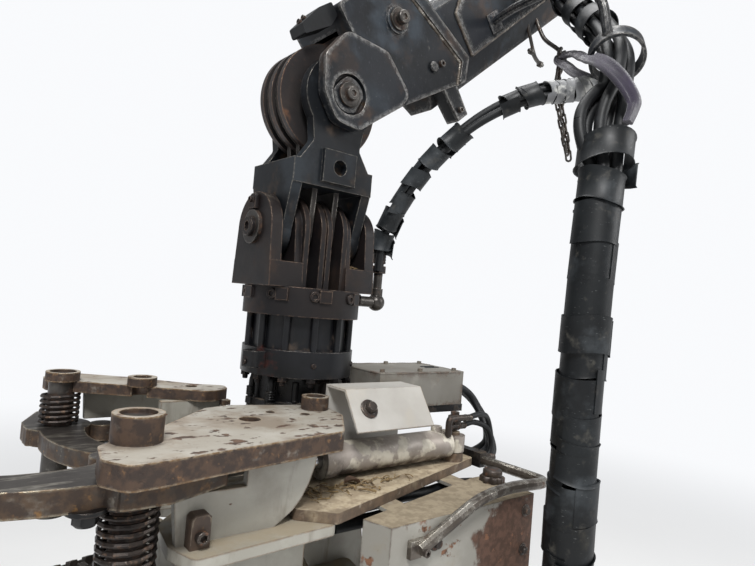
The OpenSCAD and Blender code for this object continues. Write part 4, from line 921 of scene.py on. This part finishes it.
# The shells of each turned part, as rows of radius and height in shares of its size
# A third value of 6 makes a hexagon. A cap closes a pin, a fitting ends a hose, a base holds an elbow
TURNED = {
    "bolt": [[(0.92, -0.1), (0.92, 0.12), (0.84, 0.17)], [(0.5, 0.1, 6), (0.5, 0.62, 6), (0.44, 0.74)]],
    "screw": [[(0.5, -0.1), (0.5, 0.5), (0.44, 0.56), (0.27, 0.56, 6), (0.27, 0.2, 6)]],
    "cap": [[(0.5, -0.1), (0.5, 0.16), (0.44, 0.22), (0.22, 0.22, 6), (0.22, 0.1, 6)]],
    "plug": [[(0.5, -0.1), (0.5, 0.22), (0.4, 0.32), (0.16, 0.34)]],
    "nut": [[(0.5, -0.1, 6), (0.5, 0.5, 6), (0.34, 0.56), (0.3, 0.95), (0.24, 1.0)]],
    "nipple": [[(0.6, -0.3, 6), (0.6, 0.4, 6), (0.35, 0.5), (0.5, 0.9), (0.5, 1.2), (0.3, 1.5)]],
    "fitting": [[(0.42, -0.1), (0.42, 0.15), (0.6, 0.15, 6), (0.6, 0.8, 6), (0.44, 0.84), (0.44, 1.0)]
                + CRIMPS],
    "disc": [[(0.5, 0), (0.5, 0.08), (0.4, 0.12), (0.3, 0.12)]],
    "base": [[(0.5, 0), (0.5, 0.5), (0.62, 0.5), (0.62, 1.2), (0.5, 1.25), (0.36, 1.25, 6),
              (0.36, 1.6, 6)]],
    "flange": [[(0.5, 0), (0.5, 0.1), (0.46, 0.14)]],
}
# In mm: the pitch of a weld's ripples, and a chain link's pitch, width and wire
RIPPLE = 7.0
LINK_PITCH = 31.0
LINK_WIDE = 19.0
LINK_WIRE = 7.5


def seat(node, point, direction):
    """Where a ray from a point in mm meets a construction piece."""
    hit, at, _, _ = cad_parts[node].ray_cast(Vector(home(point)), Vector(direction))
    if not hit:
        raise RuntimeError(f"{node}: nothing met from {point}")
    return np.array(at)


class Kit(Shape):
    """Small parts that share a body. Sizes are in mm, places in metres."""

    def add(self, part, at, axis, size):
        for rows in TURNED[part]:
            self.lathe([(row[0] * size, row[1] * size, *row[2:]) for row in rows], at, axis)

    def on(self, part, node, point, direction, size):
        """Adds a turned part where a ray from a point in mm meets a construction piece."""
        self.add(part, seat(node, point, direction), -direction, size)

    def on_both(self, part, node, point, size):
        """The same on the near side and, mirrored, on the far side."""
        x, y, z = point
        self.on(part, node, point, Y, size)
        self.on(part, node, (x, -y, z), -Y, size)

    def weld(self, line, radius, kind):
        """Rippled bead along points in metres."""
        dense = [p for a, b in zip(line, line[1:]) for p in np.linspace(a, b, 8)[:-1]]
        route = Route(dense + [line[-1]])
        waves = 2 * math.pi * route.length() * 1000 / RIPPLE

        def bead(t):
            return radius * (1 + 0.14 * math.sin(waves * t) + 0.1 * math.sin(waves * t / 9))

        self.tube(route.even(RIPPLE / 3000), bead, 8, kind)

    def chain(self, line):
        """Oval links along a line, each a quarter turn from the last."""
        route = Route(line)
        straight = (LINK_PITCH + LINK_WIRE - LINK_WIDE) / 2000
        for i in range(int(route.length() * 1000 / LINK_PITCH)):
            p, ahead, u, v = route.at((i + 0.5) * LINK_PITCH / 1000)
            side, flat = (u, v) if i % 2 else (v, u)
            rings = []
            for a in angles(20):
                out = turn(ahead, side, a)
                centre = p + out * LINK_WIDE / 2000 + ahead * math.copysign(straight, math.cos(a))
                rings.append([centre + turn(out, flat, b) * LINK_WIRE / 2000 for b in angles(8)])
            self.rings(rings, 0, loop=True)


def ring_of(count, radius, centre, first=0.0):
    """Points in mm on a level circle, each with the way out."""
    for a in angles(count) + math.radians(first):
        out = turn(X, Y, a)
        yield out, np.array(centre) + radius * out


def boom_fittings():
    steel, paint = Kit(), Kit()
    for side in (-1, 1):
        out = side * Y
        flat_x = -side * BOOM_X
        # The pin's locking disc, with the two flats that leave dark slots in its pocket
        disc = []
        for a in np.radians(np.arange(0, 360, 7.5)):
            flat = max(math.cos(a - math.radians(f)) for f in (97, -68))
            r = min(46, 38.5 / max(flat, 0.1))
            disc.append((r * math.cos(a), r * math.sin(a)))
        paint.slab(disc, 0, 9, on_boom(0, side * 126, 0), flat_x, BOOM_Z, out, 2)
        steel.add("cap", on_boom(0, side * 149, 0), out, 33)
        steel.add("disc", on_boom(0, side * 137, 0), out, 60)
        steel.add("cap", on_boom(277, side * 141, 92), out, 36)
        # Doubler plate on the boom's side, with the welds round it and across the fork
        edge = [(548, -106), (1010, -94), (1010, 34), (930, 58), (600, 58), (548, 24)]
        plate = [(-side * x, z) for x, z in edge][::-side]
        paint.slab(plate, -1, 7, on_boom(0, side * 80, 0), flat_x, BOOM_Z, out, 2)
        for y, line in ((82, edge + edge[:1]), (112, [(402, -146), (450, -98), (364, 120)]),
                        (81, [(434, -152), (489, -98), (394, 84)])):
            paint.weld([on_boom(x, side * y, z) for x, z in line], 5, 1)
    steel.on_both("screw", "tip_fork", (326, -300, 537), 19)
    paint.on_both("plug", "tip_fork", (296, -300, 518), 30)
    for z in (526, 512):
        steel.on("screw", "stop_pad", (-200, -57, z), X, 14)
    # Clamp block under the boom
    block = [(342, -126), (350, -238), (398, -238), (404, -126)]
    paint.slab(block, 0, 50, on_boom(0, -60, 0), BOOM_X, BOOM_Z, -Y, 3)
    steel.add("screw", on_boom(372, -110, -212), -Y, 17)
    # Rods, shackle and the doubled chain that hangs behind the hoses
    eye = home(SHACKLE)
    rod = [on_boom(964, -60, -135), home((836, -84, 806)), home((856, -132, 758)), eye]
    steel.tube(smooth(rod, 6), 7, 10)
    steel.tube([on_boom(905, -60, -135), home((800, -66, 764)), home((818, -70, 726))], 6, 10)
    cross_rod = [(776, -84, 736), (818, -70, 730), (856, -58, 728)]
    steel.tube([home(p) for p in cross_rod], 7, 10)
    for at, way in ((cross_rod[0], -X), (cross_rod[-1], X)):
        steel.add("nut", home(at), way, 20)
    bow = [(24 * math.sin(a), 4 * math.sin(a), 26 * math.cos(a)) for a in np.linspace(0.5, 5.8, 16)]
    steel.tube(eye + np.array(bow) / 1000, 7, 10)
    for points in (
        [(852, -150, 706), (836, -154, 641), (864, -158, 546), (916, -158, 424), (936, -154, 372)],
        [(868, -140, 702), (856, -136, 630), (884, -138, 540), (926, -142, 440), (942, -148, 384)],
    ):
        steel.chain(home_line(points, 8))
    steel.ride("boom_steel", "boom", "pin_steel", "pin_steel")
    paint.ride("boom_plates", "boom", "dark_paint", "dark_paint", "rubbed_pipe")


def link_fittings():
    kit = Kit()
    kit.on_both("nipple", "link_body", (0, -300, 410), 9)
    kit.ride("link_screws", "link", "pin_steel", "pin_steel")


def rotator_fittings():
    kit = Kit()
    lock = [(-17, 44), (17, 44), (17, 76), (8, 82), (-8, 82), (-17, 76)]
    for way in (-X, X):
        kit.add("cap", home(way * 165), way, 50)
        kit.slab(lock, 0, 12, home(way * 155), way[0] * Y, Z, way, 2)
        kit.add("screw", home(way * 167 + Z * 66), way, 15)
    for out, at in ring_of(9, 320, (0, 0, -160), 10):
        kit.on("cap", "rotator_yoke", at, -out, 27)
    for out, at in ring_of(6, 320, (0, 0, -326), 15):
        kit.on("plug", "rotator_drum", at, -out, 13)
    for _, at in ring_of(12, 131, (0, 0, -358), 15):
        kit.add("nut", home(at), -Z, 21)
    kit.add("fitting", home((250, 0, -82)), Z, 32)
    kit.ride("rotator_screws", "stator", "greasy_iron", "yoke_iron")


def hanger_fittings():
    dark, box = Kit(), Kit()
    for _, at in ring_of(12, 111, (0, 0, -422)):
        dark.add("screw", home(at), Z, 12)
    # Hoses that come up out of the rotor and bend outwards under it
    for x, y, lean in ((-104, -62, 40), (-112, 20, 60), (34, -124, 30), (120, -70, -20), (-60, 96, 70)):
        dark.add("fitting", home((x, y, -441)), Z, 22)
        out = unit((x, y, 0))
        bend = ((-400, 0), (-380, 0), (-366, 6), (-362, 20), (-364 - lean / 10, 40))
        dark.tube(home_line([np.array((x, y, z)) - out * further for z, further in bend], 6), 8)
    for x in (190, 328, 466):
        for y in (-126, 24):
            box.on("screw", "hose_box", (x, y, -200), -Z, 14)
    # Two slots, drawn as thin black slabs that are a painted shade of the openings, and the welded edge
    # of the box's lid
    slot = [(-26, -5), (26, -5), (30, 0), (26, 5), (-26, 5), (-30, 0)]
    for y in (-60, -40):
        box.slab(slot, -1, 1.5, home((440, y, -345)), X, Y, Z, 0.6, 1)
    lip = [(170, -144), (486, -144), (486, 42), (170, 42)]
    box.weld([home((x, y, -347)) for x, y in lip + lip[:1]], 3, 0)
    dark.ride("rotor_fittings", "hanger", "greasy_iron", "greasy_iron")
    box.ride("hose_box_lid", "hanger", "box_paint", "box_paint", "black_rubber")


def frame_fittings():
    steel, pale = Kit(), Kit()
    tilt_in = unit((0, 0.82, -0.57))
    steel.on("bolt", "cylinder_cover", np.array((45, -261, -408)) - tilt_in * 150, tilt_in, 25)
    block = [(-18, -32), (18, -32), (18, 28), (12, 34), (-12, 34), (-18, 28)]
    for side, node, z in ((-1, "near_side", -576), (1, "far_side", -600)):
        out = side * Y
        pale.slab(block, -2, 26, seat(node, (-381, side * 500, z), -out), -side * X, Z, out, 2.5, 1)
        steel.add("screw", home((-381, side * 364, z - 2)), out, 23)
    for x, z, size in ((100, -652, 19), (408, -636, 16), (408, -730, 16), (-20, -730, 16),
                       (190, -740, 16)):
        steel.on("bolt", "near_cover", (x, -700, z), Y, size)
        steel.on("bolt", "far_cover", (x, 700, z - 74), -Y, size)
    steel.on("screw", "guard_pipe", (46, -700, -652), Y, 16)
    # Lobed filler cap behind the guard pipe: a wide part with eight lobes, and a round top
    cap_at = seat("near_cover", (412, -340, -400), -Z)
    for low, high, r, lobes in ((-6, 16, 30, 0.1), (16, 32, 25, 0)):
        rings = []
        for h, grow in ((low, 0.96), (low + 2, 1), (high - 3, 1), (high, 0.9)):
            rings.append([cap_at + Z * h / 1000
                          + turn(X, Y, a) * r * grow / 1000 * (1 + lobes * math.cos(8 * a))
                          for a in angles(48)])
        steel.rings(rings)
    # Elbows and banjo screw at the base of each knife cylinder
    for side, level in ((-1, -530), (1, -604)):
        steel.add("base", home((400, side * 205, level + 36)), Z, 30)
        for i in (0, 1):
            y = side * (214 + 20 * i)
            lift = 26 * i
            elbow = [(372 - 24 * i, y, level + 28), (372 - 24 * i, y, level + 40 + lift),
                     (382 - 20 * i, y, level + 47 + lift), (424, y, level + 46 + lift)]
            steel.tube(home_line(elbow, 7), 9)
            steel.add("fitting", home((402, y, level + 46 + lift)), X, 15)
    # Hose flange on the low block, and the hoses' ends on the shelf block
    flange = np.array((193, -212, -1120))
    steel.add("flange", home(flange), -Y, 112)
    for a in np.radians((45, 135, 225, 315)):
        steel.add("bolt", home(flange - 9 * Y + 50 * turn(X, Z, a)), -Y, 15)
    for y in (-228, -197, -166):
        steel.add("fitting", home((503, y, -580)), X, 22)
    # Covers' and box's screws on the sides that the photograph doesn't show
    for y in (-60, 60):
        steel.on("screw", "main_frame", (-60, y, -300), -Z, 18)
    for z in (-800, -1000, -1200):
        for y in (-90, 90):
            steel.on("bolt", "main_frame", (600, y, z), -X, 20)
    for y in (-160, 0, 200, 400, 540):
        for z in (-1585, -1535):
            steel.on("bolt", "saw_box", (400, y, z), -X, 15)
    for _, at in ring_of(8, 82, (60, -120, -1300), 22):
        steel.on("screw", "saw_box", at, -Z, 14)
    steel.ride("frame_screws", "frame", "worn_steel", "worn_bolt")
    pale.ride("frame_lugs", "frame", "light_paint", "web_paint", "deck_edge")


# The far roller's middle and its bolts' circle in mm, and the way the arms rest turned in
ROLLER_AT = (-430.9, 306.7, -1065)
ROLLER_BOLTS = 66
ARM_TURN = math.radians(13)


def knife_and_arm_fittings():
    foot = Kit()
    foot.on("bolt", "near_knife", (-560, -345, -800), Z, 34)
    foot.ride("near_knife_foot", "near_knife", "greasy_iron", "greasy_iron")
    for side, name in ((-1, "near"), (1, "far")):
        axis = turn(X, Y, side * ARM_TURN)
        across = np.cross(axis, Z)
        centre = np.array(ROLLER_AT) * (1, side, 1)
        for way, end in ((-1, "out"), (1, "in")):
            hub = Kit()
            for a in angles(6):
                start = centre + axis * way * 300 + turn(across, Z, a) * ROLLER_BOLTS
                hub.on("bolt", f"{name}_roller", start, -axis * way, 18)
            hub.ride(f"{name}_roller_bolts_{end}", f"{name}_roller", "worn_steel", "worn_bolt")
        arm = Kit()
        for z in (-900, -1100):
            arm.on("screw", f"{name}_arm", (-60, side * 700, z), -side * Y, 18)
        arm.ride(f"{name}_arm_screws", f"{name}_arm", "worn_steel", "worn_bolt")


def saw_chain():
    """Cutters and drive links round the bar's edge."""
    kit = Kit()
    pitch = 0.019
    cutter = [(-7, -1), (7, -1), (8, 6), (2, 9), (-3, 5), (-7, 6)]
    drive_link = [(-9, -2), (9, -2), (8, 4), (-8, 4)]
    # In mm: half the bar's width, its nose's radius and where that starts
    half, nose, tip = 38, 34, 604
    line = [(a, -half + 4 * a / 640) for a in range(-50, 551, 20)]
    line += [(tip + nose * math.cos(a), nose * math.sin(a)) for a in np.radians(range(-80, 81, 20))]
    line += [(a, half - 4 * a / 640) for a in range(550, -51, -20)]
    route = Route([home((60 - b, -120 + a, -1560)) for a, b in line])
    count = int(route.length() / pitch)
    for i in range(count):
        p, ahead, _, _ = route.at((i + 0.5) * route.length() / count)
        row = i % 3
        outline, low, high = (drive_link, -3.6 + row, 1.6 + row) if row else (cutter, -3, 3)
        kit.slab(outline, low, high, p, ahead, np.cross(ahead, Z), -Z, 0.5)
    kit.ride("saw_chain", "saw_bar", "worn_steel", "saw_steel")


def litter(name, body, node, area, top, count):
    """Dry stems that lie where dust collects, dropped on a construction piece."""
    kit = Kit()
    x0, x1, y0, y1 = area
    for _ in range(count):
        x, y, a = rng.uniform(x0, x1), rng.uniform(y0, y1), rng.uniform(0, 3.14)
        long = rng.uniform(12, 42)
        ends = [(x + k * long * math.cos(a), y + k * long * math.sin(a), top) for k in (-0.5, 0.5)]
        try:
            low = [seat(node, p, -Z) for p in ends]
        except RuntimeError:
            continue
        thick = rng.uniform(0.8, 1.8)
        low = [p + Z * (thick + rng.uniform(0, 4)) / 1000 for p in low]
        bow = np.array([rng.uniform(-4, 4), rng.uniform(-4, 4), rng.uniform(0, 5)]) / 1000
        kit.tube(smooth([low[0], (low[0] + low[1]) / 2 + bow, low[1]], 3), thick, 5)
    kit.ride(name, body, "greasy_iron", "dry_grass")


def dead_leaf():
    """A curled brown leaf by the near cylinder."""
    at = home((8, -268, -574))
    rings = []
    for t in np.linspace(0, 1, 9):
        half = 11 * math.sin(math.pi * min(max(t, 0.04), 0.96)) ** 0.8
        ring = []
        for k, curl in ((-1, 7), (-0.5, 2), (0, 0), (0.5, 3), (1, 8)):
            lift = curl * abs(k) + 5 * math.sin(4 * t) + 4
            ring.append(at + (X * (t - 0.5) * 44 + Y * k * half + Z * lift) / 1000)
        rings.append(ring + [p + Z * 0.0007 for p in ring[::-1]])
    shape = Shape()
    shape.rings(rings)
    shape.ride("dead_leaf", "frame", "greasy_iron", "leaf_brown")


boom_fittings()
link_fittings()
rotator_fittings()
hanger_fittings()
frame_fittings()
knife_and_arm_fittings()
saw_chain()
litter("shelf_litter", "frame", "near_shelf", (-150, 60, -322, -236), -480, 34)
litter("cylinder_litter", "frame", "near_shelf", (-120, 190, -286, -256), -480, 40)
litter("yoke_litter", "stator", "rotator_yoke", (92, 118, -60, 60), -20, 40)
dead_leaf()


# Floor, backdrop and light, in metres and watts
FLOOR_GAP = 0.05
FLOOR_SIZE = 40.0
BACKDROP = (0.95, 0.96, 0.98, 1)
WORLD_LIGHT = 0.43
LIGHTS = {
    "key": (230, 1.1, (-2.9, -2.6, 2.0), (-1.0, 0, -1.2)),
    "top": (110, 2.4, (-0.4, 0.6, 2.6), (-1.0, 0, -1.2)),
    "side": (60, 1.8, (1.9, -2.6, 0.2), (-0.8, 0, -1.3)),
}


def make_floor():
    """A pale floor that turns far out into the white of the backdrop."""
    middle = (cad_low + cad_high) / 2
    level = cad_low.z - FLOOR_GAP
    mesh = bpy.data.meshes.new("floor")
    mesh.from_pydata([(middle.x + a * FLOOR_SIZE, middle.y + b * FLOOR_SIZE, level)
                      for a, b in ((-1, -1), (1, -1), (1, 1), (-1, 1))], [], [(0, 1, 2, 3)])
    paint = Finish("floor", "e2e2e1 e6e6e5", 0.4, 0.9)
    mesh.materials.append(paint.done(0.0, 0))
    away = paint.distance((middle.x, middle.y, level))
    glow = paint.value("ShaderNodeEmission", {"Color": BACKDROP, "Strength": 1.0})
    blend = paint.value("ShaderNodeMixShader", {
        0: paint.ramp(away, 1.6, 6.5), 1: paint.shader.outputs[0], 2: glow
    })
    put(paint.tree, paint.out.inputs["Surface"], blend)
    new_object("floor", mesh)


def make_world():
    """A bright backdrop for the camera that lights the part less than it shows."""
    world = bpy.data.worlds.new("world")
    bpy.context.scene.world = world
    world.use_nodes = True
    tree = world.node_tree
    path = add_node(tree, "ShaderNodeLightPath").outputs
    seen = add_node(tree, "ShaderNodeMath", {
        0: path["Is Camera Ray"], 1: path["Is Transmission Ray"]
    }, operation="MAXIMUM")
    strength = add_node(tree, "ShaderNodeMapRange", {
        "Value": seen.outputs[0], "To Min": WORLD_LIGHT, "To Max": 1.0
    })
    back = tree.nodes["Background"].inputs
    put(tree, back["Strength"], strength.outputs[0])
    put(tree, back["Color"], BACKDROP)


def make_lights():
    for name, (power, size, at, aim) in LIGHTS.items():
        data = bpy.data.lights.new(name, "AREA")
        data.energy = power
        data.size = size
        light = new_object(name, data)
        light.location = at
        light.rotation_mode = "QUATERNION"
        light.rotation_quaternion = (Vector(aim) - Vector(at)).to_track_quat("-Z", "Y")


make_floor()
make_world()
make_lights()
bpy.context.scene.view_settings.view_transform = "Standard"
